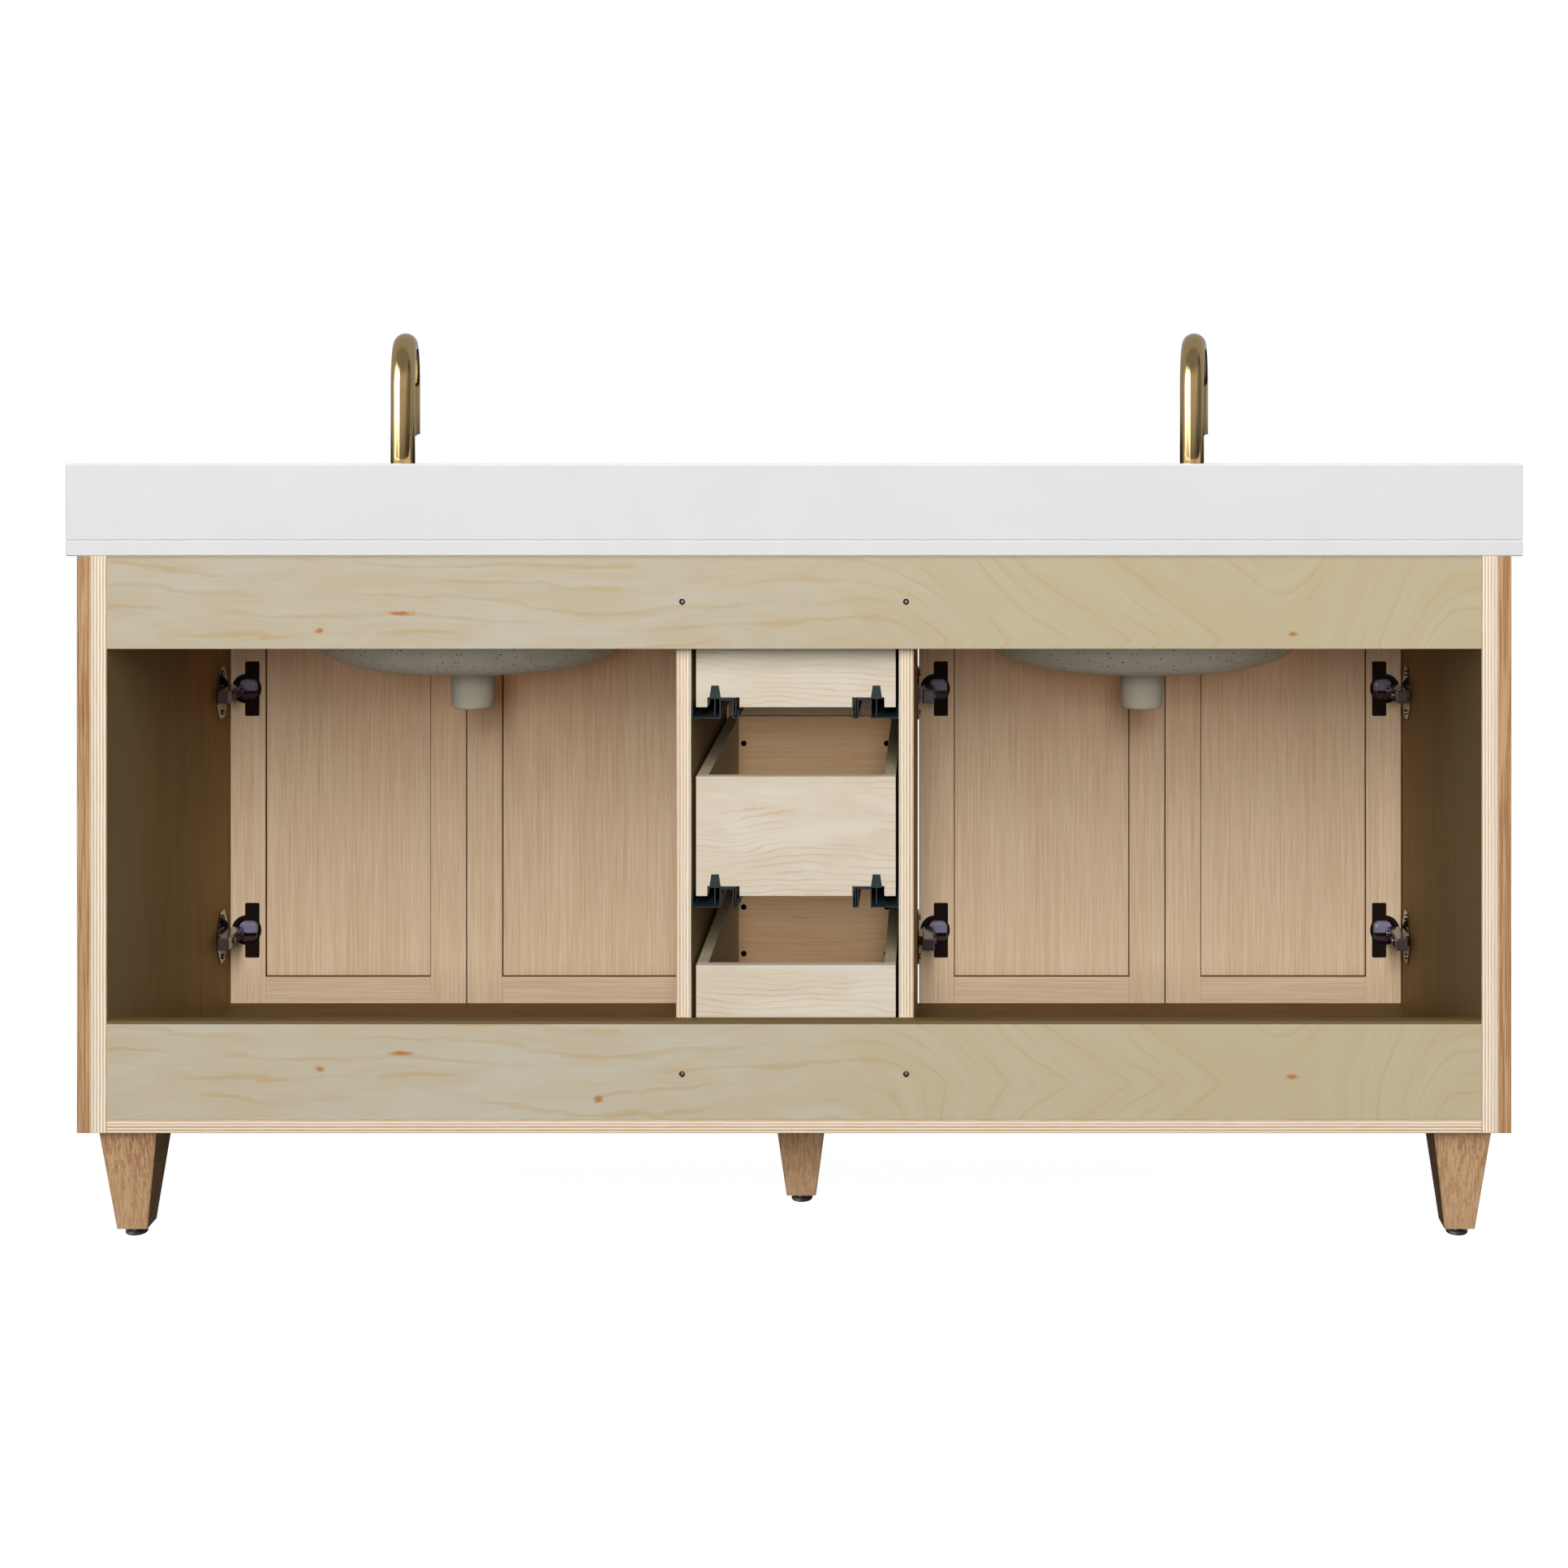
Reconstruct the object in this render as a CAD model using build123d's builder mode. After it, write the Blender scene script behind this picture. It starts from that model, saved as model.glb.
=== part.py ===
# Double bathroom vanity: plywood carcass with oak ends, doors and legs, a stone top,
# two undermount basins, two gooseneck faucets and a centre stack of drawers.
# Millimetres. +Z is up, the doors face -Y and the open back faces +Y.
# The origin is on the floor, under the middle of the worktop.
import os

from build123d import *

os.makedirs("parts", exist_ok=True)

# Carcass
cabinet_width = 1825.0
carcass_height = 734.0
carcass_depth = 526.0
end_panel_thickness = 16.0
side_thickness = 22.0
divider_thickness = 19.0
bottom_thickness = 17.0
drawer_opening = 266.0
rail_thickness = 16.0
top_rail_height = 118.0
bottom_rail_height = 126.0
front_rail_thickness = 18.0
front_rail_height = 76.0
front_rail_centre_height = 36.0
board_edge = 0.6

# Screws that hold the back rails to the dividers
rail_screw_radius = 2.2
rail_screw_length = 42.0
rail_screw_head_radius = 3.8
rail_screw_head_height = 3.0
rail_screw_bore_radius = 4.0
rail_screw_bore_depth = 7.0
rail_screw_from_edge = 58.0
screw_clearance = 0.05
screw_end_room = 1.0

# Legs
leg_height = 136.0
leg_top = 75.0
leg_foot = 39.0
leg_inset = 20.0
leg_edge = 1.5
centre_leg_from_back = 176.0
glide_radius = 14.0
glide_height = 11.0
glide_pad_height = 6.0
glide_neck_radius = 6.0
glide_edge = 1.2

# Worktop
counter_thickness = 20.0
counter_edge = 1.5
front_overhang = 13.0
side_overhang = 14.5
splash_height = 97.0
splash_thickness = 20.0

# Basins
basin_from_bay_centre = 46.0
basin_rear_room = 110.0
basin_front_room = 14.0
basin_half_width = 235.0
basin_wall = 12.0
basin_depth = 174.0
basin_fullness = 4.2
basin_floor_share = 0.3
basin_flange = 24.0
basin_flange_thickness = 12.0
counter_reveal = 4.0
outlet_radius = 31.0
outlet_length = 54.0
outlet_taper = 2.0
outlet_bore_radius = 22.5
outlet_edge = 4.0

# Faucets
faucet_from_back = 70.0
faucet_hole_radius = 17.5
faucet_shank_radius = 16.0
faucet_shank_length = 62.0
faucet_nut_radius = 27.0
faucet_nut_height = 12.0
faucet_nut_clearance = 0.05
faucet_flange_radius = 24.0
faucet_flange_height = 5.0
faucet_body_radius = 16.6
faucet_body_height = 86.0
spout_radius = 15.6
spout_height = 263.0
spout_reach = 112.0
spout_outlet_height = 127.0
spout_rest_turn = 9.0
spout_stem_radius = 10.0
spout_stem_length = 24.0
running_gap = 0.06
aerator_radius = 11.5
aerator_length = 6.0
aerator_seat = 4.0
aerator_opening_radius = 8.5
handle_height = 46.0
handle_reach = 24.0
handle_stub_radius = 11.0
handle_stem_radius = 6.0
handle_stem_length = 8.0
hub_radius = 13.0
hub_length = 26.0
hub_gap = 0.3
hub_edge = 1.5
lever_radius = 4.2
lever_rise = 47.0
lever_taper = 0.8
lever_tip_edge = 2.0
lever_pin_radius = 2.5
lever_pin_reach = 10.0
lever_pivot_from_hub_end = 12.0
lever_room = 0.5
lever_tilt_room = 4.6

# Doors
door_thickness = 20.0
door_gap = 1.8
door_meeting_gap = 1.6
door_top_gap = 4.0
door_split_offset = 7.5
door_rail_width = 53.0
door_panel_thickness = 8.0
door_panel_back_recess = 4.0
door_groove = 9.0
finger_bevel = 6.0
hinge_from_door_foot = 122.0
hinge_from_door_top = 244.0

# Concealed hinges: an open cup with a plate and a hood on the door, an arm on a winged plate on the side
cup_radius = 17.5
cup_depth = 11.0
cup_wall = 1.5
cup_from_face = 26.0
cup_clearance = 0.1
cup_flange_radius = 22.0
cup_flange_thickness = 1.2
cup_plate_width = 21.0
cup_plate_height = 81.0
cup_plate_thickness = 2.0
cup_plate_from_face = 34.6
cup_plate_corner = 2.0
hood_width = 27.0
hood_height = 30.0
hood_rise = 12.0
hood_from_face = 30.5
hood_corner = 9.0
hood_round = 5.0
wing_height = 76.0
wing_depth = 50.0
wing_tip = 20.0
wing_waist = 30.0
wing_thickness = 2.5
wing_edge = 0.8
wing_behind_door = 40.0
saddle_depth = 44.0
saddle_height = 13.0
saddle_rise = 5.5
arm_start = 14.0
arm_length = 72.0
arm_height = 18.0
arm_rise = 17.0
arm_edge = 2.0
link_start = 3.0
link_height = 12.0
link_rise = 6.0

# Drawers
drawer_names = ("bottom", "middle", "top")
drawer_front_gap = 3.0
drawer_rear_room = 36.0
drawer_box_side_gap = 4.5
drawer_board = 15.0
drawer_bottom_thickness = 6.0
drawer_bottom_recess = 13.0
drawer_groove = 6.0
drawer_box_above_front = 46.0
drawer_box_below_front = 40.0

# Undermount slides, measured from the divider's face and the drawer box's lower edge
slide_overhang = 5.0
slide_setback = 2.0
slide_sheet = 1.4
slide_flange_top = 6.0
slide_flange_foot = -12.7
slide_hat_inner = 36.0
slide_hat_outer = 53.0
slide_lip = 59.0
slide_lip_top = -3.0
slide_ride = 0.3
runner_leg_near = 29.2
runner_leg_far = 56.0
runner_leg_foot = -10.5
notch_start = 19.0
notch_end = 60.5
hook_foot_width = 14.7
hook_tip_width = 9.6
hook_height = 15.3
hook_thickness = 3.0

# Planes and levels that everything is placed from
counter_width = cabinet_width + 2 * side_overhang
counter_depth = carcass_depth + door_thickness + front_overhang
back_y = counter_depth / 2
front_y = back_y - carcass_depth
face_y = front_y - door_thickness
bottom_z = leg_height + glide_height
floor_z = bottom_z + bottom_thickness
top_z = bottom_z + carcass_height
counter_z = top_z + counter_thickness
end_face_x = cabinet_width / 2
side_face_x = end_face_x - end_panel_thickness - side_thickness
divider_face_x = drawer_opening / 2
bay_face_x = divider_face_x + divider_thickness
divider_x = divider_face_x + divider_thickness / 2
door_foot_z = bottom_z + door_top_gap
door_top_z = top_z - door_top_gap
basin_rear_y = back_y - basin_rear_room - basin_flange
basin_front_y = front_y + front_rail_thickness + basin_front_room + basin_flange
basin_y = (basin_rear_y + basin_front_y) / 2
basin_half_depth = (basin_rear_y - basin_front_y) / 2
bay_centre_x = (bay_face_x + side_face_x) / 2
basin_x = bay_centre_x - basin_from_bay_centre
faucet_y = back_y - faucet_from_back
sides = {"left": -1, "right": 1}


def save(part, name):
    part.label = name
    export_step(part, f"parts/{name}.step")


def group(parts, name):
    save(Compound(children=parts), name)


def board(x_range, y_range, z_range, edge=board_edge):
    """A flat board between two values on each axis, with its arrises eased."""
    x_low, x_high = sorted(x_range)
    with BuildPart() as blank:
        with BuildSketch(Plane.XY.offset(z_range[0])):
            with Locations(((x_low + x_high) / 2, (y_range[0] + y_range[1]) / 2)):
                Rectangle(x_high - x_low, y_range[1] - y_range[0])
        extrude(amount=z_range[1] - z_range[0])
        if edge:
            chamfer(blank.edges(), edge)
    return blank.part


# Back rails and the screws that fix them to the dividers
rail_levels = {
    "back_rail_top": (top_z - top_rail_height, top_z),
    "back_rail_bottom": (floor_z, floor_z + bottom_rail_height),
}
rail_screw_levels = (top_z - rail_screw_from_edge, floor_z + rail_screw_from_edge)
rail_screw_seat_y = back_y - rail_screw_bore_depth
rail_y = (back_y - rail_thickness, back_y)


def screw_planes(y, levels):
    """Planes facing +Y, one on each screw's axis."""
    spots = [(sign * divider_x, level) for sign in sides.values() for level in levels]
    return [Plane(origin=(x, y, level), z_dir=(0, 1, 0)) for x, level in spots]


for (rail_name, rail_z), screw_level in zip(rail_levels.items(), rail_screw_levels):
    with BuildPart() as back_rail:
        add(board((-side_face_x, side_face_x), rail_y, rail_z))
        with Locations(*screw_planes(back_y, (screw_level,))):
            CounterBoreHole(
                radius=rail_screw_radius + screw_clearance,
                counter_bore_radius=rail_screw_bore_radius,
                counter_bore_depth=rail_screw_bore_depth,
            )
    save(back_rail.part, rail_name)

with BuildPart() as rail_screws:
    for plane in screw_planes(rail_screw_seat_y, rail_screw_levels):
        with BuildSketch(plane):
            Circle(rail_screw_head_radius)
        extrude(amount=rail_screw_head_height)
        with BuildSketch(plane):
            Circle(rail_screw_radius)
        extrude(amount=-rail_screw_length)
save(rail_screws.part, "rail_screws")

# Sides, oak ends, dividers, bottom and front rails
for side, sign in sides.items():
    outer_x = sign * (side_face_x + side_thickness)
    save(board((sign * side_face_x, outer_x), (front_y, back_y), (bottom_z, top_z)), f"side_panel_{side}")
    save(board((outer_x, sign * end_face_x), (face_y, back_y), (bottom_z, top_z)), f"end_panel_{side}")
    with BuildPart() as divider:
        add(board((sign * divider_face_x, sign * bay_face_x), (front_y, rail_y[0]), (floor_z, top_z)))
        screw_depth = rail_screw_length - (rail_screw_seat_y - rail_y[0])
        own_planes = [
            plane for plane in screw_planes(rail_y[0], rail_screw_levels) if plane.origin.X * sign > 0
        ]
        with Locations(*own_planes):
            Hole(radius=rail_screw_radius + screw_clearance, depth=screw_depth + screw_end_room)
    save(divider.part, f"divider_{side}")

save(board((-side_face_x, side_face_x), (front_y, back_y), (bottom_z, floor_z)), "bottom_panel")

front_rail_y = (front_y, front_y + front_rail_thickness)
bay_rails = [
    board((sign * bay_face_x, sign * side_face_x), front_rail_y, (top_z - front_rail_height, top_z))
    for sign in sides.values()
]
centre_rail = board(
    (-divider_face_x, divider_face_x), front_rail_y, (top_z - front_rail_centre_height, top_z)
)
group([*bay_rails, centre_rail], "front_rails")

face_y_range = (face_y, front_y)
face_stiles = []
for sign in sides.values():
    for near_x, far_x in ((side_face_x, side_face_x + side_thickness), (divider_face_x, bay_face_x)):
        face_stiles.append(board((sign * near_x, sign * far_x), face_y_range, (bottom_z, top_z)))
group(face_stiles, "face_stiles")

# Tapered legs on adjustable glides
leg_from_side = end_face_x - leg_inset - leg_top / 2
leg_rear_y = back_y - leg_inset - leg_top / 2
leg_front_y = face_y + leg_inset + leg_top / 2
leg_places = {"leg_centre": (0, back_y - centre_leg_from_back)}
for side, sign in sides.items():
    leg_places[f"leg_front_{side}"] = (sign * leg_from_side, leg_front_y)
    leg_places[f"leg_rear_{side}"] = (sign * leg_from_side, leg_rear_y)

for leg_name, (leg_x, leg_y) in leg_places.items():
    with BuildPart() as leg:
        with BuildSketch(Plane(origin=(leg_x, leg_y, glide_height))):
            Rectangle(leg_foot, leg_foot)
        with BuildSketch(Plane(origin=(leg_x, leg_y, bottom_z))):
            Rectangle(leg_top, leg_top)
        loft()
        level_edges = leg.edges().filter_by(Plane.XY)
        chamfer(leg.edges() - level_edges, leg_edge)
    save(leg.part, leg_name)

with BuildPart() as glide:
    with BuildSketch(Plane.XZ):
        with BuildLine():
            Polyline(
                (0, 0),
                (glide_radius - glide_edge, 0),
                (glide_radius, glide_edge),
                (glide_radius, glide_pad_height - glide_edge),
                (glide_radius - glide_edge, glide_pad_height),
                (glide_neck_radius, glide_pad_height),
                (glide_neck_radius, glide_height),
                (0, glide_height),
                close=True,
            )
        make_face()
    revolve(axis=Axis.Z)
group([Pos(x, y, 0) * glide.part for x, y in leg_places.values()], "leg_glides")

# Worktop with its basin cut-outs and faucet holes, and the splashback
basin_places = {side: sign * basin_x for side, sign in sides.items()}
faucet_places = {side: sign * bay_centre_x for side, sign in sides.items()}
with BuildPart() as countertop:
    with BuildSketch(Plane.XY.offset(top_z)):
        Rectangle(counter_width, counter_depth)
    extrude(amount=counter_thickness)
    chamfer(countertop.edges(), counter_edge)
    with BuildSketch(Plane.XY.offset(top_z)):
        with Locations(*[(x, basin_y) for x in basin_places.values()]):
            Ellipse(basin_half_width - counter_reveal, basin_half_depth - counter_reveal)
        with Locations(*[(x, faucet_y) for x in faucet_places.values()]):
            Circle(faucet_hole_radius)
    extrude(amount=counter_thickness, mode=Mode.SUBTRACT)
save(countertop.part, "countertop")

splash_y = (back_y - splash_thickness, back_y)
splash_x = (-counter_width / 2, counter_width / 2)
save(board(splash_x, splash_y, (counter_z, counter_z + splash_height), counter_edge), "backsplash")


def basin_outline(share):
    """Width of the bowl at a share of its depth, as a share of its width at the rim."""
    return (1 - share**basin_fullness) ** (1 / basin_fullness)


basin_levels = (0.0, 0.3, 0.55, 0.75, 0.9, 0.97)


def bowl_sections(depth, half_width, half_depth):
    """Level and half axes of the ellipses down the bowl, ending in its flat floor."""
    shares = [(level, basin_outline(level)) for level in basin_levels] + [(1.0, basin_floor_share)]
    return [(top_z - depth * level, half_width * spread, half_depth * spread) for level, spread in shares]


outer_bowl = bowl_sections(
    basin_depth + basin_wall, basin_half_width + basin_wall, basin_half_depth + basin_wall
)
inner_bowl = bowl_sections(basin_depth, basin_half_width, basin_half_depth)
outlet_foot_z = top_z - basin_depth - basin_wall - outlet_length
for side, x in basin_places.items():
    with BuildPart() as basin:
        for level, half_width, half_depth in outer_bowl:
            with BuildSketch(Plane(origin=(x, basin_y, level))):
                Ellipse(half_width, half_depth)
        loft()
        with BuildSketch(Plane(origin=(x, basin_y, top_z - basin_flange_thickness))):
            Ellipse(basin_half_width + basin_flange, basin_half_depth + basin_flange)
        extrude(amount=basin_flange_thickness)
        with BuildSketch(Plane(origin=(x, basin_y, outlet_foot_z + outlet_length + basin_wall / 2))):
            Circle(outlet_radius)
        extrude(amount=-(outlet_length + basin_wall / 2), taper=outlet_taper)
        fillet(basin.edges().group_by(Axis.Z)[0], outlet_edge)
        for level, half_width, half_depth in inner_bowl:
            with BuildSketch(Plane(origin=(x, basin_y, level))):
                Ellipse(half_width, half_depth)
        loft(mode=Mode.SUBTRACT)
        with BuildSketch(Plane(origin=(x, basin_y, outlet_foot_z))):
            Circle(outlet_bore_radius)
        extrude(amount=outlet_length + 2 * basin_wall, mode=Mode.SUBTRACT)
    save(basin.part, f"basin_{side}")

# Faucets: a fixed body through the worktop, a swivel spout and a side lever
body_top_z = counter_z + faucet_body_height
handle_z = counter_z + handle_height
arc_radius = spout_reach / 2
arc_z = counter_z + spout_height - spout_radius - arc_radius
outlet_z = counter_z + spout_outlet_height
hub_start = handle_reach + hub_gap
lever_pivot = hub_start + hub_length - lever_pivot_from_hub_end
nuts = []

for side, sign in sides.items():
    x = faucet_places[side]
    axis_line = Axis((x, faucet_y, 0), (0, 0, 1))
    hub_plane = Plane(origin=(x, faucet_y, handle_z), z_dir=(1, 0, 0))

    with BuildPart() as faucet_body:
        with BuildSketch(Plane(origin=(x, faucet_y, counter_z))):
            Circle(faucet_flange_radius)
        extrude(amount=faucet_flange_height)
        chamfer(faucet_body.edges().group_by(Axis.Z)[-1], faucet_flange_height / 3)
        with BuildSketch(Plane(origin=(x, faucet_y, counter_z))):
            Circle(faucet_shank_radius)
        extrude(amount=-faucet_shank_length)
        with BuildSketch(Plane(origin=(x, faucet_y, counter_z))):
            Circle(faucet_body_radius)
        extrude(amount=faucet_body_height)
        with BuildSketch(hub_plane):
            Circle(handle_stub_radius)
        extrude(amount=handle_reach)
        with BuildSketch(hub_plane.offset(handle_reach)):
            Circle(handle_stem_radius)
        extrude(amount=handle_stem_length)
        with BuildSketch(Plane(origin=(x, faucet_y, body_top_z))):
            Circle(spout_stem_radius + running_gap)
        extrude(amount=-spout_stem_length - running_gap, mode=Mode.SUBTRACT)
    save(faucet_body.part, f"faucet_body_{side}")

    with BuildPart() as nut:
        with BuildSketch(Plane(origin=(x, faucet_y, top_z))):
            RegularPolygon(faucet_nut_radius, 6)
            Circle(faucet_shank_radius + faucet_nut_clearance, mode=Mode.SUBTRACT)
        extrude(amount=-faucet_nut_height)
    nuts.append(nut.part)

    with BuildPart() as spout:
        with BuildLine(Plane(origin=(x, faucet_y, 0), x_dir=(0, -1, 0), z_dir=(-1, 0, 0))):
            Line((0, body_top_z + running_gap), (0, arc_z))
            ThreePointArc((0, arc_z), (arc_radius, arc_z + arc_radius), (spout_reach, arc_z))
            Line((spout_reach, arc_z), (spout_reach, outlet_z))
        with BuildSketch(Plane(origin=(x, faucet_y, body_top_z + running_gap))):
            Circle(spout_radius)
        sweep()
        with BuildSketch(Plane(origin=(x, faucet_y, body_top_z + running_gap))):
            Circle(spout_stem_radius)
        extrude(amount=-spout_stem_length)
        with BuildSketch(Plane(origin=(x, faucet_y - spout_reach, outlet_z))):
            Circle(aerator_radius)
        extrude(amount=aerator_seat, mode=Mode.SUBTRACT)
    save(spout.part.rotate(axis_line, sign * spout_rest_turn), f"spout_{side}")

    with BuildPart() as aerator:
        with BuildSketch(Plane(origin=(x, faucet_y - spout_reach, outlet_z + aerator_seat))):
            Circle(aerator_radius)
        extrude(amount=-aerator_length)
        with BuildSketch(Plane(origin=(x, faucet_y - spout_reach, outlet_z + aerator_seat - aerator_length))):
            Circle(aerator_opening_radius)
        extrude(amount=aerator_length / 2, mode=Mode.SUBTRACT)
    save(aerator.part.rotate(axis_line, sign * spout_rest_turn), f"aerator_{side}")

    lever_plane = Plane(origin=(x + lever_pivot, faucet_y, handle_z))
    pin_plane = Plane(origin=lever_plane.origin, z_dir=(0, 1, 0))
    slot_near = lever_radius + lever_room
    slot_far = slot_near + lever_tilt_room
    with BuildPart() as hub:
        with BuildSketch(hub_plane.offset(hub_start)):
            Circle(hub_radius)
        extrude(amount=hub_length)
        chamfer(hub.edges().group_by(Axis.X)[-1], hub_edge)
        with BuildSketch(hub_plane.offset(hub_start)):
            Circle(handle_stem_radius + running_gap)
        extrude(amount=handle_stem_length - hub_gap + running_gap, mode=Mode.SUBTRACT)
        with BuildSketch(lever_plane.offset(-slot_near)):
            with Locations(((slot_far - slot_near) / 2, 0)):
                Rectangle(slot_near + slot_far, 2 * slot_near)
        extrude(amount=slot_near + hub_radius, mode=Mode.SUBTRACT)
        with BuildSketch(pin_plane):
            Circle(lever_pin_radius + running_gap)
        extrude(amount=hub_radius, both=True, mode=Mode.SUBTRACT)
    save(hub.part, f"faucet_hub_{side}")

    with BuildPart() as lever:
        with BuildSketch(lever_plane):
            Circle(lever_radius)
        extrude(amount=lever_rise, taper=lever_taper)
        fillet(lever.edges().group_by(Axis.Z)[-1], lever_tip_edge)
        with Locations(lever_plane.location):
            Sphere(lever_radius)
        with BuildSketch(pin_plane):
            Circle(lever_pin_radius)
        extrude(amount=lever_pin_reach, both=True)
    save(lever.part, f"faucet_lever_{side}")
group(nuts, "faucet_nuts")

# Doors: a grooved frame round a flat panel, on two concealed hinges each
hinge_levels = (door_foot_z + hinge_from_door_foot, door_top_z - hinge_from_door_top)
split_x = bay_centre_x + door_split_offset
leaf_spans = {
    "outer": (side_face_x, side_face_x - door_gap, split_x + door_meeting_gap / 2),
    "inner": (bay_face_x, bay_face_x + door_gap, split_x - door_meeting_gap / 2),
}
panel_y = front_y - door_panel_back_recess
hinge_plates = []
hinge_arms = []


def door_member(x_range, z_range, panel, bevel_x=None, cup_x=None):
    """One stile or rail, grooved for the panel."""
    with BuildPart() as member:
        add(board(x_range, face_y_range, z_range, edge=0))
        if bevel_x is not None:
            front_edges = member.edges().filter_by(Axis.Z).group_by(Axis.Y)[0]
            chamfer(front_edges.sort_by_distance((bevel_x, face_y, z_range[0]))[0], finger_bevel)
        chamfer(member.edges(), board_edge)
        add(panel, mode=Mode.SUBTRACT)
        if cup_x is not None:
            cup_planes = [Plane(origin=(cup_x, front_y, level), z_dir=(0, 1, 0)) for level in hinge_levels]
            with Locations(*cup_planes):
                Hole(radius=cup_radius + cup_clearance, depth=cup_depth + cup_clearance)
    return member.part


def hinge_cup(face_x, inward, level):
    """The half of a hinge that rides on the door: open cup, fixing plate and rounded hood."""
    cup_plane, plate_plane, hood_plane = [
        Plane(origin=(face_x + inward * reach, front_y, level), x_dir=(1, 0, 0), z_dir=(0, 1, 0))
        for reach in (cup_from_face, cup_plate_from_face, hood_from_face)
    ]
    hollow_depth = cup_depth - cup_wall
    with BuildPart() as cup:
        with BuildSketch(hood_plane):
            RectangleRounded(hood_width, hood_height, hood_corner)
        extrude(amount=hood_rise)
        fillet(cup.edges().group_by(Axis.Y)[-1], hood_round)
        with BuildSketch(plate_plane):
            RectangleRounded(cup_plate_width, cup_plate_height, cup_plate_corner)
        extrude(amount=cup_plate_thickness)
        with BuildSketch(cup_plane):
            Circle(cup_flange_radius)
        extrude(amount=cup_flange_thickness)
        with BuildSketch(cup_plane):
            Circle(cup_radius)
        extrude(amount=-cup_depth)
        with BuildSketch(cup_plane.offset(-hollow_depth)):
            Circle(cup_radius - cup_wall)
        extrude(amount=hollow_depth + cup_flange_thickness, mode=Mode.SUBTRACT)
    return cup.part


def side_plane(face_x, inward, level, behind_door):
    """A plane on the side or divider, whose X runs to the back of the cabinet."""
    return Plane(origin=(face_x, front_y + behind_door, level), x_dir=(0, 1, 0), z_dir=(inward, 0, 0))


def hinge_plate(face_x, inward, level):
    """The winged plate that is screwed to the side, with the saddle for the arm."""
    plate_plane = side_plane(face_x, inward, level, wing_behind_door)
    wing = [(wing_depth, wing_waist), (wing_tip, wing_height)]
    half_outline = [(x / 2, y / 2) for x, y in wing] + [(-x / 2, y / 2) for x, y in reversed(wing)]
    with BuildPart() as plate:
        with BuildSketch(plate_plane):
            with BuildLine():
                Polyline(*half_outline, *[(-x, -y) for x, y in half_outline], close=True)
            make_face()
        extrude(amount=wing_thickness)
        outer_face = plate.faces().filter_by(Axis.X).sort_by(Axis.X, reverse=inward < 0)[-1]
        chamfer(outer_face.edges(), wing_edge)
        with BuildSketch(plate_plane.offset(wing_thickness)):
            Rectangle(saddle_depth, saddle_height)
        extrude(amount=saddle_rise)
    return plate.part


def hinge_arm(face_x, inward, level):
    """The arm that sits on the saddle, with the stub of its links towards the cup."""
    arm_plane = side_plane(face_x, inward, level, arm_start).offset(wing_thickness + saddle_rise)
    link_length = arm_start - link_start + arm_edge
    with BuildPart() as arm:
        with BuildSketch(arm_plane):
            with Locations((arm_length / 2, 0)):
                Rectangle(arm_length, arm_height)
        extrude(amount=arm_rise)
        fillet(arm.edges(), arm_edge)
        with BuildSketch(arm_plane.offset(arm_edge)):
            with Locations((arm_edge - link_length / 2, 0)):
                Rectangle(link_length, link_height)
        extrude(amount=link_rise)
    return arm.part


for side, sign in sides.items():
    for leaf, (hinge_face, hinge_edge, meeting_edge) in leaf_spans.items():
        inward = 1 if meeting_edge > hinge_edge else -1
        hinge_inner = hinge_edge + inward * door_rail_width
        meeting_inner = meeting_edge - inward * door_rail_width
        panel = board(
            (sign * (hinge_inner - inward * door_groove), sign * (meeting_inner + inward * door_groove)),
            (panel_y - door_panel_thickness, panel_y),
            (door_foot_z + door_rail_width - door_groove, door_top_z - door_rail_width + door_groove),
            edge=0,
        )
        door_z = (door_foot_z, door_top_z)
        rail_x = (sign * hinge_inner, sign * meeting_inner)
        hinge_x = sign * hinge_face
        cup_x = hinge_x + sign * inward * cup_from_face
        members = [
            door_member((sign * hinge_edge, sign * hinge_inner), door_z, panel, cup_x=cup_x),
            door_member(
                (sign * meeting_inner, sign * meeting_edge), door_z, panel, bevel_x=sign * meeting_edge
            ),
            door_member(rail_x, (door_foot_z, door_foot_z + door_rail_width), panel),
            door_member(rail_x, (door_top_z - door_rail_width, door_top_z), panel),
        ]
        door_name = f"door_{side}_{leaf}"
        group(members, f"{door_name}_frame")
        save(panel, f"{door_name}_panel")
        group([hinge_cup(hinge_x, sign * inward, level) for level in hinge_levels], f"{door_name}_hinge_cups")
        hinge_plates += [hinge_plate(hinge_x, sign * inward, level) for level in hinge_levels]
        hinge_arms += [hinge_arm(hinge_x, sign * inward, level) for level in hinge_levels]
group(hinge_plates, "hinge_plates")
group(hinge_arms, "hinge_arms")

# Drawers on undermount slides
drawer_front_height = (
    door_top_z - door_foot_z - (len(drawer_names) - 1) * drawer_front_gap
) / len(drawer_names)
drawer_box_height = drawer_front_height - drawer_box_above_front - drawer_box_below_front
box_half_width = divider_face_x - drawer_box_side_gap
box_inner_x = box_half_width - drawer_board
box_back_y = back_y - drawer_rear_room
slide_front_y = front_y + drawer_board + slide_setback
slide_length = box_back_y + slide_overhang - slide_front_y
slide_rails = []


def slide_plane(sign, y, box_z):
    """A section plane whose X runs from the divider towards the drawer and whose Y is up."""
    return Plane(origin=(sign * divider_face_x, y, box_z), x_dir=(-sign, 0, 0), z_dir=(0, sign, 0))


def folded_sheet(plane, points, length):
    """A strip of sheet steel folded along the points, centred on the plane."""
    with BuildPart() as sheet:
        with BuildSketch(plane):
            with BuildLine():
                Polyline(*points)
            trace(line_width=slide_sheet)
        extrude(amount=length / 2, both=True)
    return sheet.part


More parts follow.
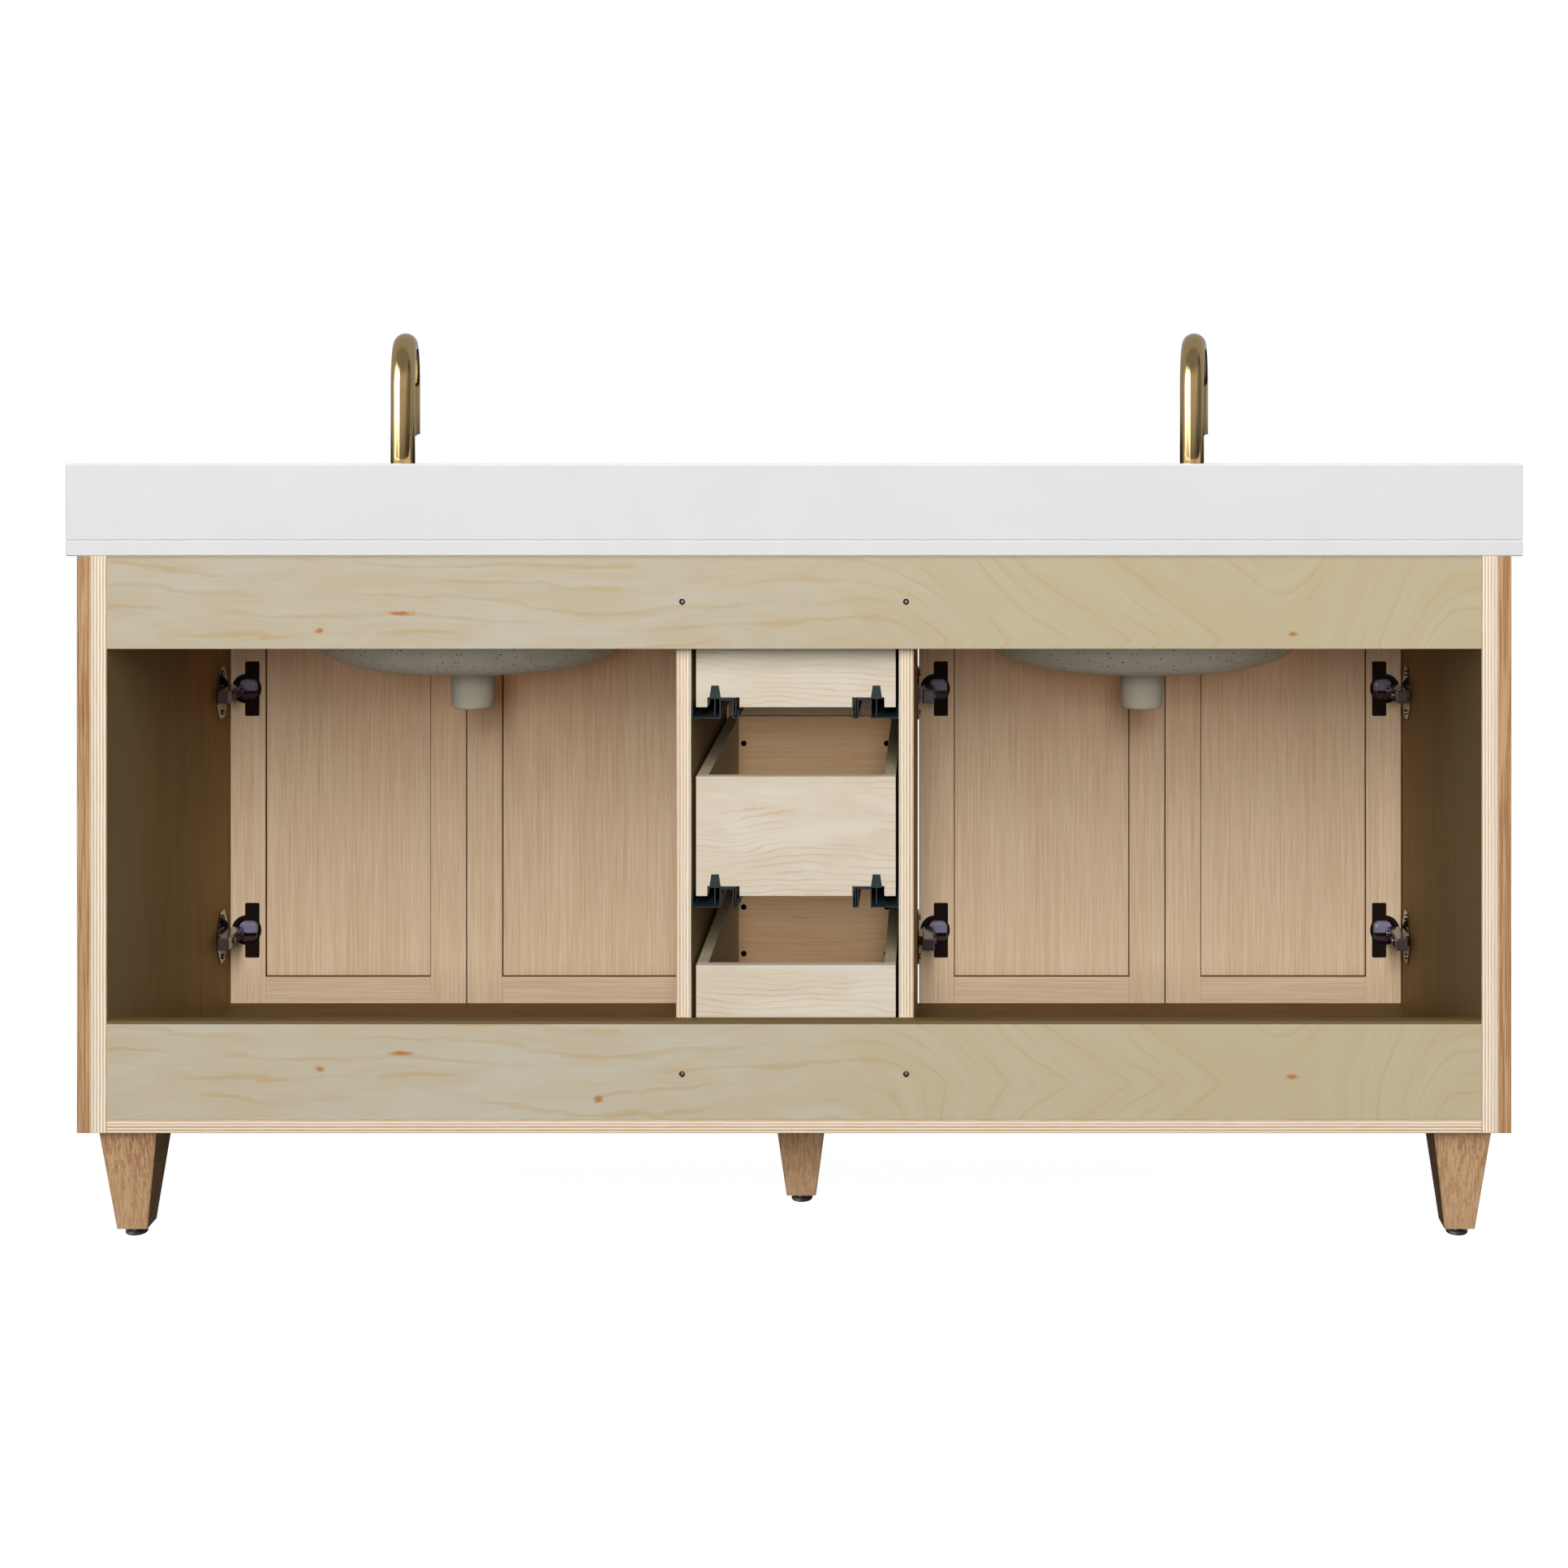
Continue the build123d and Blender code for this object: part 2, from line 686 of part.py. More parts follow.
def slide_rail(sign, box_z):
    """The fixed half of a slide: a flange on the divider, and a hat that the runner rides on."""
    hat_top = drawer_bottom_recess - slide_ride - 1.5 * slide_sheet
    points = (
        (slide_sheet / 2, slide_flange_top),
        (slide_sheet / 2, slide_flange_foot),
        (slide_hat_inner, slide_flange_foot),
        (slide_hat_inner, hat_top),
        (slide_hat_outer, hat_top),
        (slide_hat_outer, slide_flange_foot),
        (slide_lip, slide_flange_foot),
        (slide_lip, slide_lip_top),
    )
    return folded_sheet(slide_plane(sign, slide_front_y + slide_length / 2, box_z), points, slide_length)


def slide_runner(sign, box_z):
    """The moving half of a slide: a channel under the drawer, with a hook up its back board."""
    top = drawer_bottom_recess - slide_sheet / 2
    points = (
        (runner_leg_near, runner_leg_foot),
        (runner_leg_near, top),
        (runner_leg_far, top),
        (runner_leg_far, runner_leg_foot),
    )
    hook_y = box_back_y + hook_thickness
    length = hook_y - slide_front_y
    with BuildPart() as runner:
        add(folded_sheet(slide_plane(sign, slide_front_y + length / 2, box_z), points, length))
        with BuildSketch(slide_plane(sign, box_back_y + hook_thickness / 2, box_z)):
            with BuildLine():
                Polyline(
                    (runner_leg_near - hook_foot_width / 2, drawer_bottom_recess - slide_sheet),
                    (runner_leg_near + hook_foot_width / 2, drawer_bottom_recess - slide_sheet),
                    (runner_leg_near + hook_tip_width / 2, drawer_bottom_recess + hook_height),
                    (runner_leg_near - hook_tip_width / 2, drawer_bottom_recess + hook_height),
                    close=True,
                )
            make_face()
        extrude(amount=hook_thickness / 2, both=True)
    return runner.part


for number, drawer_name in enumerate(drawer_names):
    front_z = door_foot_z + number * (drawer_front_height + drawer_front_gap)
    box_z = front_z + drawer_box_above_front
    box_z_range = (box_z, box_z + drawer_box_height)
    base_z = (box_z + drawer_bottom_recess, box_z + drawer_bottom_recess + drawer_bottom_thickness)
    base_x = box_inner_x + drawer_groove
    base_y = (front_y + drawer_board - drawer_groove, box_back_y - drawer_board + drawer_groove)
    base = board((-base_x, base_x), base_y, base_z, edge=0)

    box_boards = []
    side_y = (front_y + drawer_board, box_back_y - drawer_board)
    for sign in sides.values():
        with BuildPart() as box_side:
            add(board((sign * box_inner_x, sign * box_half_width), side_y, box_z_range))
            add(base, mode=Mode.SUBTRACT)
        box_boards.append(box_side.part)
    with BuildPart() as box_front:
        add(board((-box_half_width, box_half_width), (front_y, front_y + drawer_board), box_z_range))
        add(base, mode=Mode.SUBTRACT)
    box_boards.append(box_front.part)
    with BuildPart() as box_back:
        add(board((-box_half_width, box_half_width), (box_back_y - drawer_board, box_back_y), box_z_range))
        add(base, mode=Mode.SUBTRACT)
        for sign in sides.values():
            with BuildSketch(slide_plane(sign, box_back_y - drawer_board / 2, box_z)):
                with Locations(((notch_start + notch_end) / 2, 0)):
                    Rectangle(notch_end - notch_start, 2 * drawer_bottom_recess)
            extrude(amount=drawer_board, both=True, mode=Mode.SUBTRACT)
    box_boards.append(box_back.part)

    with BuildPart() as drawer_front:
        front_x = divider_face_x - door_gap
        add(board((-front_x, front_x), face_y_range, (front_z, front_z + drawer_front_height), edge=0))
        long_edges = drawer_front.edges().filter_by(Axis.X).group_by(Axis.Y)[0]
        chamfer(long_edges.sort_by(Axis.Z)[-1], finger_bevel)
        chamfer(drawer_front.edges(), board_edge)

    group(box_boards, f"drawer_{drawer_name}_box")
    save(base, f"drawer_{drawer_name}_base")
    save(drawer_front.part, f"drawer_{drawer_name}_front")
    group([slide_runner(sign, box_z) for sign in sides.values()], f"drawer_{drawer_name}_runners")
    slide_rails += [slide_rail(sign, box_z) for sign in sides.values()]
group(slide_rails, "slide_rails")
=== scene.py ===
import math

import bpy
from mathutils import Matrix, Vector


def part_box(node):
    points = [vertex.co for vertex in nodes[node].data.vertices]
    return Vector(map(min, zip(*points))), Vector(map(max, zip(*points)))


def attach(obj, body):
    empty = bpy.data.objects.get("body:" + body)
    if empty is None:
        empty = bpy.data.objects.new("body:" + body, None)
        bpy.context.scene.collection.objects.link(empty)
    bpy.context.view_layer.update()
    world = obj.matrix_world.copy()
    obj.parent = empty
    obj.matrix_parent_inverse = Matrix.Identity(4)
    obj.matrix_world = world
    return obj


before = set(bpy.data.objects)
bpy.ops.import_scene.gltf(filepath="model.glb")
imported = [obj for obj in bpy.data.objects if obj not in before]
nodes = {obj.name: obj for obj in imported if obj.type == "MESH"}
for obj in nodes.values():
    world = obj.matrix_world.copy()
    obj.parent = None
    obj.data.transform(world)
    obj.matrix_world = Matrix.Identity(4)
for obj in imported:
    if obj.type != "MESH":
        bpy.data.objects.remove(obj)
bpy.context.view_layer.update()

bpy.ops.object.select_all(action="DESELECT")
print("frame loaded,", len(nodes), "nodes")


# Shader helpers

def srgb(red, green, blue):
    # a colour as a screen shows it, 0 to 255, turned into the linear one that a shader takes
    shares = [value / 255 for value in (red, green, blue)]
    linear = [s / 12.92 if s <= 0.04045 else ((s + 0.055) / 1.055) ** 2.4 for s in shares]
    return (*linear, 1.0)


def toned(color, factor):
    # the same hue, darker or paler
    return (*[part * factor for part in color[:3]], 1.0)


def place(tree, kind, sockets=None, **settings):
    node = tree.nodes.new("ShaderNode" + kind)
    for setting, value in settings.items():
        setattr(node, setting, value)
    for socket, value in (sockets or {}).items():
        if isinstance(value, bpy.types.NodeSocket):
            tree.links.new(value, node.inputs[socket])
        else:
            node.inputs[socket].default_value = value
    return node


def math2(tree, operation, first, second=0.0):
    return place(tree, "Math", {0: first, 1: second}, operation=operation).outputs[0]


def plus(tree, first, second):
    return math2(tree, "ADD", first, second)


def minus(tree, first, second):
    return math2(tree, "SUBTRACT", first, second)


def times(tree, first, second):
    return math2(tree, "MULTIPLY", first, second)


def larger(tree, first, second):
    return math2(tree, "MAXIMUM", first, second)


def distance(tree, first, second):
    return math2(tree, "ABSOLUTE", minus(tree, first, second))


def axes(tree, vector):
    return place(tree, "SeparateXYZ", {0: vector}).outputs


def absAxis(tree, vector, axis):
    return math2(tree, "ABSOLUTE", axes(tree, vector)[axis])


def ramp(tree, value, low, high, toLow=0.0, toHigh=1.0):
    sockets = {"Value": value, "From Min": low, "From Max": high, "To Min": toLow, "To Max": toHigh}
    return place(tree, "MapRange", sockets, interpolation_type="SMOOTHSTEP").outputs["Result"]


def scaled(tree, vector, scale):
    return place(tree, "Mapping", {"Vector": vector, "Scale": scale}).outputs["Vector"]


def noise(tree, vector, scale, detail=3.0, roughness=0.55, distortion=0.0):
    sockets = {"Vector": scaled(tree, vector, scale), "Scale": 1.0, "Detail": detail,
               "Roughness": roughness, "Distortion": distortion}
    return place(tree, "TexNoise", sockets).outputs["Fac"]


def mottle(tree, vector, scale, span, to=(0.0, 1.0), **settings):
    # noise with its middle span stretched over the values in to
    return ramp(tree, noise(tree, vector, scale, **settings), *span, *to)


def mixFloat(tree, factor, first, second):
    # sockets 2 and 3 are the two values of a number mix
    return place(tree, "Mix", {0: factor, 2: first, 3: second}, data_type="FLOAT").outputs[0]


def mixColor(tree, factor, first, second, blend="MIX"):
    # sockets 6 and 7 are the two colours of a colour mix
    node = place(tree, "Mix", {0: factor, 6: first, 7: second}, data_type="RGBA", blend_type=blend)
    return node.outputs[2]


def newGroup(name, inputs, outputs):
    tree = bpy.data.node_groups.new(name, "ShaderNodeTree")
    for label, kind in inputs:
        tree.interface.new_socket(name=label, in_out="INPUT", socket_type="NodeSocket" + kind)
    for label, kind in outputs:
        tree.interface.new_socket(name=label, in_out="OUTPUT", socket_type="NodeSocket" + kind)
    return tree, tree.nodes.new("NodeGroupInput").outputs, tree.nodes.new("NodeGroupOutput").inputs


def useGroup(tree, group, sockets):
    return place(tree, "Group", sockets, node_tree=group).outputs


def newMaterial(name, roughness=0.5, metallic=0.0, specular=0.5):
    material = bpy.data.materials.new(name)
    material.use_nodes = True
    tree = material.node_tree
    shader = tree.nodes["Principled BSDF"]
    shader.inputs["Roughness"].default_value = roughness
    shader.inputs["Metallic"].default_value = metallic
    shader.inputs["Specular IOR Level"].default_value = specular
    coords = tree.nodes.new("ShaderNodeTexCoord").outputs
    return material, tree, shader, coords


def addBump(tree, shader, height, strength, distance):
    bump = place(tree, "Bump", {"Height": height, "Strength": strength, "Distance": distance})
    tree.links.new(bump.outputs["Normal"], shader.inputs["Normal"])


def dress(material, *names):
    for name in names:
        slots = nodes[name].data.materials
        slots.clear()
        slots.append(material)


# Wood patterns: the grain runs along Z of the vector that comes in

oakPattern = {
    "bands": {"scale": (34, 34, 0.9), "span": (0.36, 0.64), "roughness": 0.5, "distortion": 0.4},
    "streaks": {"scale": (380, 380, 6.5), "span": (0.38, 0.62), "roughness": 0.6},
    "fibres": {"scale": (1300, 1300, 22), "span": (0.36, 0.64), "detail": 2.0},
    "pores": {"scale": (620, 620, 11), "span": (0.56, 0.72), "roughness": 0.6},
    "poreZones": {"scale": (60, 60, 2.0), "span": (0.38, 0.66), "detail": 2.0},
    "bandShare": 0.18, "streakShare": 0.5, "fibreShare": 0.32, "middle": 0.5, "streakRise": 0.35,
}


def buildOakGrain():
    look = oakPattern
    inputs = (("Vector", "Vector"), ("Pale", "Color"), ("Tan", "Color"), ("Pore", "Color"),
              ("Contrast", "Float"), ("Pores", "Float"))
    tree, given, out = newGroup("oakGrain", inputs, (("Color", "Color"), ("Height", "Float")))
    vector = given["Vector"]
    bands = mottle(tree, vector, **look["bands"])
    streaks = mottle(tree, vector, **look["streaks"])
    fibres = mottle(tree, vector, **look["fibres"])
    tone = plus(tree, times(tree, bands, look["bandShare"]), times(tree, streaks, look["streakShare"]))
    tone = plus(tree, tone, times(tree, fibres, look["fibreShare"]))
    centred = times(tree, minus(tree, tone, look["middle"]), given["Contrast"])
    color = mixColor(tree, plus(tree, centred, look["middle"]), given["Pale"], given["Tan"])
    pores = times(tree, mottle(tree, vector, **look["pores"]), mottle(tree, vector, **look["poreZones"]))
    color = mixColor(tree, times(tree, pores, given["Pores"]), color, given["Pore"])
    tree.links.new(color, out["Color"])
    tree.links.new(minus(tree, times(tree, streaks, look["streakRise"]), pores), out["Height"])
    return tree


maplePattern = {
    "wander": {"scale": (4.5, 4.5, 3.0), "detail": 2.0, "roughness": 0.5},
    "curl": {"scale": (55, 55, 16), "detail": 2.0},
    "lineZones": {"scale": (30, 30, 6.0), "span": (0.4, 0.6)},
    "clouds": {"scale": (24, 24, 6.0), "span": (0.35, 0.65), "detail": 4.0, "roughness": 0.6,
               "distortion": 0.6},
    "fibres": {"scale": (700, 700, 20), "span": (0.3, 0.7)},
    "lineSpan": (0.55, 1.0), "cloudShare": 0.3, "fibreShare": 0.1,
}


def buildMapleFigure():
    # growth lines that run with the grain, wander slowly and curl a little
    look = maplePattern
    inputs = (("Vector", "Vector"), ("Pale", "Color"), ("Line", "Color"), ("Lines", "Float"),
              ("Spacing", "Float"), ("Wander", "Float"), ("Curl", "Float"))
    tree, given, out = newGroup("mapleFigure", inputs, (("Color", "Color"), ("Height", "Float")))
    vector = given["Vector"]
    split = axes(tree, vector)
    across = math2(tree, "DIVIDE", plus(tree, split["X"], split["Y"]), given["Spacing"])
    wander = times(tree, noise(tree, vector, **look["wander"]), given["Wander"])
    curl = times(tree, noise(tree, vector, **look["curl"]), given["Curl"])
    field = plus(tree, across, plus(tree, wander, curl))
    waves = math2(tree, "SINE", times(tree, field, math.tau))
    lines = times(tree, ramp(tree, waves, *look["lineSpan"]), mottle(tree, vector, **look["lineZones"]))
    clouds = mottle(tree, vector, **look["clouds"])
    fibres = mottle(tree, vector, **look["fibres"])
    factor = plus(tree, times(tree, lines, given["Lines"]), times(tree, clouds, look["cloudShare"]))
    factor = plus(tree, factor, times(tree, fibres, look["fibreShare"]))
    tree.links.new(mixColor(tree, factor, given["Pale"], given["Line"]), out["Color"])
    tree.links.new(fibres, out["Height"])
    return tree


plyPattern = {
    "thick": 0.002, "cream": srgb(252, 243, 227), "tan": srgb(196, 162, 122), "void": srgb(74, 46, 28),
    "wave": {"scale": (14, 14, 14), "detail": 2.0}, "waveReach": 0.0007,
    "along": {"scale": (900, 900, 40), "span": (0.25, 0.75)}, "grainShare": 0.5, "grainRise": 0.2,
    "chanceShare": 0.35, "glueSpan": (0.36, 0.5), "glueShare": 0.3,
    "voidScale": (260, 260, 55), "voidSpan": (0.34, 0.2), "voidChance": (0.95, 0.965),
}


def buildPlyEdge():
    # plies in turn pale and tan, with a glue line between them and a few holes
    look = plyPattern
    inputs = (("Across", "Float"), ("Vector", "Vector"))
    tree, given, out = newGroup("plyEdge", inputs, (("Color", "Color"), ("Height", "Float")))
    vector = given["Vector"]
    wave = times(tree, minus(tree, noise(tree, vector, **look["wave"]), 0.5), look["waveReach"])
    layer = math2(tree, "DIVIDE", plus(tree, given["Across"], wave), look["thick"])
    index = math2(tree, "FLOOR", layer)
    share = math2(tree, "FRACT", layer)
    # 0 for even plies and a half for odd ones
    turns = math2(tree, "FRACT", times(tree, index, 0.5))
    chance = place(tree, "TexWhiteNoise", {"W": index}, noise_dimensions="1D").outputs["Value"]
    tone = plus(tree, turns, times(tree, chance, look["chanceShare"]))
    along = mottle(tree, vector, **look["along"])
    grainy = times(tree, along, times(tree, turns, look["grainShare"]))
    color = mixColor(tree, plus(tree, tone, grainy), look["cream"], look["tan"])
    glue = ramp(tree, distance(tree, share, 0.5), *look["glueSpan"])
    color = mixColor(tree, times(tree, glue, look["glueShare"]), color, look["tan"], "MULTIPLY")
    cells = place(tree, "TexVoronoi", {"Vector": scaled(tree, vector, look["voidScale"]), "Scale": 1.0})
    holes = ramp(tree, cells.outputs["Distance"], *look["voidSpan"])
    pick = place(tree, "SeparateColor", {0: cells.outputs["Color"]}).outputs["Green"]
    holes = times(tree, holes, ramp(tree, pick, *look["voidChance"]))
    tree.links.new(mixColor(tree, holes, color, look["void"]), out["Color"])
    tree.links.new(minus(tree, times(tree, grainy, look["grainRise"]), holes), out["Height"])
    return tree


speckSpan = (0.3, 0.16)     # from a speck's rim to its full tone, in cells


def buildSpecks():
    inputs = (("Vector", "Vector"), ("Density", "Float"), ("Size", "Float"))
    tree, given, out = newGroup("specks", inputs, (("Mask", "Float"),))
    sized = place(tree, "VectorMath", {0: given["Vector"], "Scale": given["Size"]}, operation="SCALE")
    cells = place(tree, "TexVoronoi", {"Vector": sized.outputs[0], "Scale": 1.0})
    dots = ramp(tree, cells.outputs["Distance"], *speckSpan)
    pick = place(tree, "SeparateColor", {0: cells.outputs["Color"]}).outputs["Blue"]
    kept = math2(tree, "LESS_THAN", pick, given["Density"])
    tree.links.new(times(tree, dots, kept), out["Mask"])
    return tree


brushPattern = {"hairs": {"scale": (2400, 2400, 60), "detail": 2.0}, "smears": {"scale": (30, 30, 12)},
                "smearShare": 0.5}


def buildBrushed():
    inputs = (("Vector", "Vector"), ("Low", "Float"), ("High", "Float"))
    tree, given, out = newGroup("brushed", inputs, (("Roughness", "Float"), ("Height", "Float")))
    hairs = noise(tree, given["Vector"], **brushPattern["hairs"])
    smears = noise(tree, given["Vector"], **brushPattern["smears"])
    both = mixFloat(tree, brushPattern["smearShare"], hairs, smears)
    tree.links.new(mixFloat(tree, both, given["Low"], given["High"]), out["Roughness"])
    tree.links.new(hairs, out["Height"])
    return tree


oakGrain = buildOakGrain()
mapleFigure = buildMapleFigure()
plyEdge = buildPlyEdge()
specks = buildSpecks()
brushed = buildBrushed()
print("patterns ready")

noTurn = (0, 0, 0)
alongX = (0, math.radians(90), 0)   # turns a pattern so that its grain runs along X
alongY = (math.radians(90), 0, 0)
facingSpan = (0.8, 0.95)    # share of a normal along an axis, from sloping to facing that way


def grainVector(tree, coords, turn):
    return place(tree, "Mapping", {"Vector": coords["Object"], "Rotation": turn}).outputs["Vector"]


def facing(tree, coords, axis):
    # 1 where a face looks along the axis, either way
    return ramp(tree, absAxis(tree, coords["Normal"], axis), *facingSpan)


# Oak: ends, legs, stiles, doors and drawer fronts

# the wood is bare or waxed, and shows almost no mirror haze; a bump is its strength and distance
woodFinish = {"sheen": 0.06, "oakRoughness": 0.55, "oakBump": (0.25, 0.0004),
              "plyRoughness": 0.5, "plyBump": (0.2, 0.0003)}
oakLooks = {
    "endOak": {"Pale": srgb(202, 165, 127), "Tan": srgb(160, 118, 82), "Pore": srgb(112, 72, 44),
               "Contrast": 1.6, "Pores": 0.8},
    "doorOak": {"Pale": srgb(226, 204, 174), "Tan": srgb(197, 168, 135), "Pore": srgb(168, 126, 90),
                "Contrast": 0.7, "Pores": 0.35},
}
bounceLitShare = 0.45    # how much paler the legs are painted at the floor, as painted light from the floor's bounce


def newOak(name):
    return newMaterial(name, woodFinish["oakRoughness"], specular=woodFinish["sheen"])


def newPly(name):
    return newMaterial(name, woodFinish["plyRoughness"], specular=woodFinish["sheen"])


def oakColor(tree, coords, look, turn=noTurn):
    return useGroup(tree, oakGrain, {"Vector": grainVector(tree, coords, turn), **look})


def oakMaterial(name, look, turn=noTurn, bounceLitFoot=None):
    # the foot height given is where the wood starts to get paler towards the floor: painted light that
    # stands for light thrown up by the floor
    material, tree, shader, coords = newOak(name)
    grain = oakColor(tree, coords, look, turn)
    color = grain["Color"]
    if bounceLitFoot:
        # painted light: the legs get paler towards the floor
        height = axes(tree, coords["Object"])["Z"]
        color = mixColor(tree, ramp(tree, height, bounceLitFoot, 0.0, 0.0, bounceLitShare), color, look["Pale"])
    tree.links.new(color, shader.inputs["Base Color"])
    addBump(tree, shader, grain["Height"], *woodFinish["oakBump"])
    return material


# painted shade in the door gaps: dark lines on panel and frame along the groove, and dark side faces on the
# frames
doorGapShade = {"tongue": 0.009, "sideShade": 0.0014, "footShade": 0.0009, "frameShade": 0.0012,
             "frameShadeFade": 0.0006, "color": srgb(92, 56, 34), "edge": srgb(104, 72, 46)}


def doorFrameOak(door):
    # stiles have upright grain, and the rails between them have level grain
    low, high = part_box(f"{door}_panel")
    material, tree, shader, coords = newOak(f"{door}Oak")
    position = axes(tree, coords["Object"])
    upright = oakColor(tree, coords, oakLooks["doorOak"])
    level = oakColor(tree, coords, oakLooks["doorOak"], alongX)
    # how far a point on the frame lies from the opening that the panel fills
    fromMiddle = distance(tree, position["X"], (low.x + high.x) / 2)
    fromSide = minus(tree, fromMiddle, (high.x - low.x) / 2 - doorGapShade["tongue"])
    fromFoot = minus(tree, low.z + doorGapShade["tongue"], position["Z"])
    fromTop = minus(tree, position["Z"], high.z - doorGapShade["tongue"])
    fromPanel = larger(tree, fromSide, larger(tree, fromFoot, fromTop))
    isRail = math2(tree, "LESS_THAN", fromSide, 0.0)
    color = mixColor(tree, isRail, upright["Color"], level["Color"])
    # painted shade: a dark line on the frame along the panel's groove, and dark side faces for the shade in
    # the gaps between doors
    jointAndGapShade = ramp(tree, fromPanel, doorGapShade["frameShade"], doorGapShade["frameShade"] - doorGapShade["frameShadeFade"])
    color = mixColor(tree, jointAndGapShade, color, doorGapShade["color"])
    color = mixColor(tree, facing(tree, coords, "X"), color, doorGapShade["edge"])
    tree.links.new(color, shader.inputs["Base Color"])
    height = mixFloat(tree, isRail, upright["Height"], level["Height"])
    addBump(tree, shader, height, *woodFinish["oakBump"])
    return material


def doorPanelOak(door):
    # painted shade: a brown line where the panel goes into the groove of its frame, for the shadow in that
    # gap
    low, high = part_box(f"{door}_panel")
    material, tree, shader, coords = newOak(f"{door}PanelOak")
    grain = oakColor(tree, coords, oakLooks["doorOak"])
    position = axes(tree, coords["Object"])
    fromMiddle = distance(tree, position["X"], (low.x + high.x) / 2)
    sideEdge = (high.x - low.x) / 2 - doorGapShade["tongue"]
    footEdge = low.z + doorGapShade["tongue"]
    sideShade = ramp(tree, fromMiddle, sideEdge - doorGapShade["sideShade"], sideEdge)
    footShade = ramp(tree, position["Z"], footEdge + doorGapShade["footShade"], footEdge)
    color = mixColor(tree, larger(tree, sideShade, footShade), grain["Color"], doorGapShade["color"])
    tree.links.new(color, shader.inputs["Base Color"])
    addBump(tree, shader, grain["Height"], *woodFinish["oakBump"])
    return material


sideNames = ("left", "right")
legNames = ["leg_centre"] + [f"leg_{end}_{side}" for end in ("front", "rear") for side in sideNames]
doorNames = [f"door_{side}_{leaf}" for side in sideNames for leaf in ("outer", "inner")]
drawerNames = ("drawer_bottom", "drawer_middle", "drawer_top")
dress(oakMaterial("endOak", oakLooks["endOak"]), "end_panel_left", "end_panel_right", "face_stiles")
dress(oakMaterial("legOak", oakLooks["endOak"], bounceLitFoot=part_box("leg_centre")[1].z), *legNames)
for door in doorNames:
    dress(doorFrameOak(door), f"{door}_frame")
    dress(doorPanelOak(door), f"{door}_panel")
drawerFrontOak = oakMaterial("drawerFrontOak", oakLooks["doorOak"], alongX)
dress(drawerFrontOak, *[f"{drawer}_front" for drawer in drawerNames])
print("oak done")

# Plywood: a maple face and a layered edge

railFace = {"Pale": srgb(195, 188, 170), "Line": srgb(186, 160, 116), "Lines": 0.36,
            "Spacing": 0.026, "Wander": 4.0, "Curl": 0.8}
# painted shade: the bay floor's face is coloured darker than the walls' for the shade inside the bays
shadedFloorFace = {"Pale": srgb(102, 76, 45), "Line": srgb(84, 60, 33), "Lines": 0.6,
             "Spacing": 0.03, "Wander": 4.0, "Curl": 0.4}
innerFace = {"Pale": srgb(148, 121, 76), "Line": srgb(118, 91, 53), "Lines": 0.22,
             "Spacing": 0.03, "Wander": 4.0, "Curl": 0.4}
# painted light: the bays' walls get paler towards the open back
wallOpeningLight = {"color": srgb(172, 150, 108), "share": 0.6, "span": (0.02, 0.26)}


def lightWallByOpening(tree, coords, color):
    # painted light: the bays' walls are paler and more olive towards the open back, where more light comes
    # in
    depth = axes(tree, coords["Object"])["Y"]
    openingLight = ramp(tree, depth, *wallOpeningLight["span"], 0.0, wallOpeningLight["share"])
    return mixColor(tree, openingLight, color, wallOpeningLight["color"])


railPeak = {"heights": (0.211, 0.774), "slope": 0.62, "enter": (-0.02, -0.32), "leave": (-0.85, -0.6)}


def railVector(tree, coords):
    # level grain whose lines turn into nested peaks on the photo's right half
    position = axes(tree, coords["Object"])
    isTop = math2(tree, "GREATER_THAN", position["Z"], sum(railPeak["heights"]) / 2)
    level = minus(tree, position["Z"], mixFloat(tree, isTop, *railPeak["heights"]))
    slope = times(tree, position["X"], railPeak["slope"])
    leaning = minus(tree, math2(tree, "ABSOLUTE", level), slope)
    enter = ramp(tree, position["X"], *railPeak["enter"])
    share = times(tree, enter, ramp(tree, position["X"], *railPeak["leave"]))
    across = mixFloat(tree, share, level, leaning)
    return place(tree, "CombineXYZ", {"X": across, "Y": position["Y"], "Z": position["X"]}).outputs[0]


# middle, half length and half height of each brown fleck on the rails
railFlecks = (
    ((0.500, 0.808), 0.017, 0.0032), ((0.604, 0.786), 0.006, 0.004), ((0.500, 0.249), 0.017, 0.0032),
    ((0.604, 0.229), 0.006, 0.004), ((0.249, 0.190), 0.007, 0.0045), ((-0.635, 0.782), 0.007, 0.003),
    ((-0.633, 0.219), 0.008, 0.0035),
)
fleckLook = {"color": srgb(176, 116, 58), "share": 0.9, "span": (1.3, 0.3), "depth": 1000.0,
             "ragged": (160, 160, 420), "raggedReach": 1.6}


def addFlecks(tree, coords, color):
    look = fleckLook
    ragged = minus(tree, noise(tree, coords["Object"], look["ragged"]), 0.5)
    ragged = times(tree, ragged, look["raggedReach"])
    for (x, z), halfLength, halfHeight in railFlecks:
        sockets = {"Vector": coords["Object"], "Location": (x, 0, z),
                   "Scale": (halfLength, look["depth"], halfHeight)}
        spot = place(tree, "Mapping", sockets, vector_type="TEXTURE").outputs["Vector"]
        reach = place(tree, "VectorMath", {0: spot}, operation="LENGTH").outputs["Value"]
        mask = ramp(tree, plus(tree, reach, ragged), *look["span"], 0.0, look["share"])
        color = mixColor(tree, mask, color, look["color"])
    return color


railShade = {"warm": srgb(188, 170, 128), "warmShare": 0.45, "warmSpan": (0.25, -0.45),
             "color": srgb(150, 132, 98), "share": 0.5, "reach": 0.005,
             "edge": srgb(112, 94, 62), "edgeReach": 0.0042, "edgeRise": 0.001}


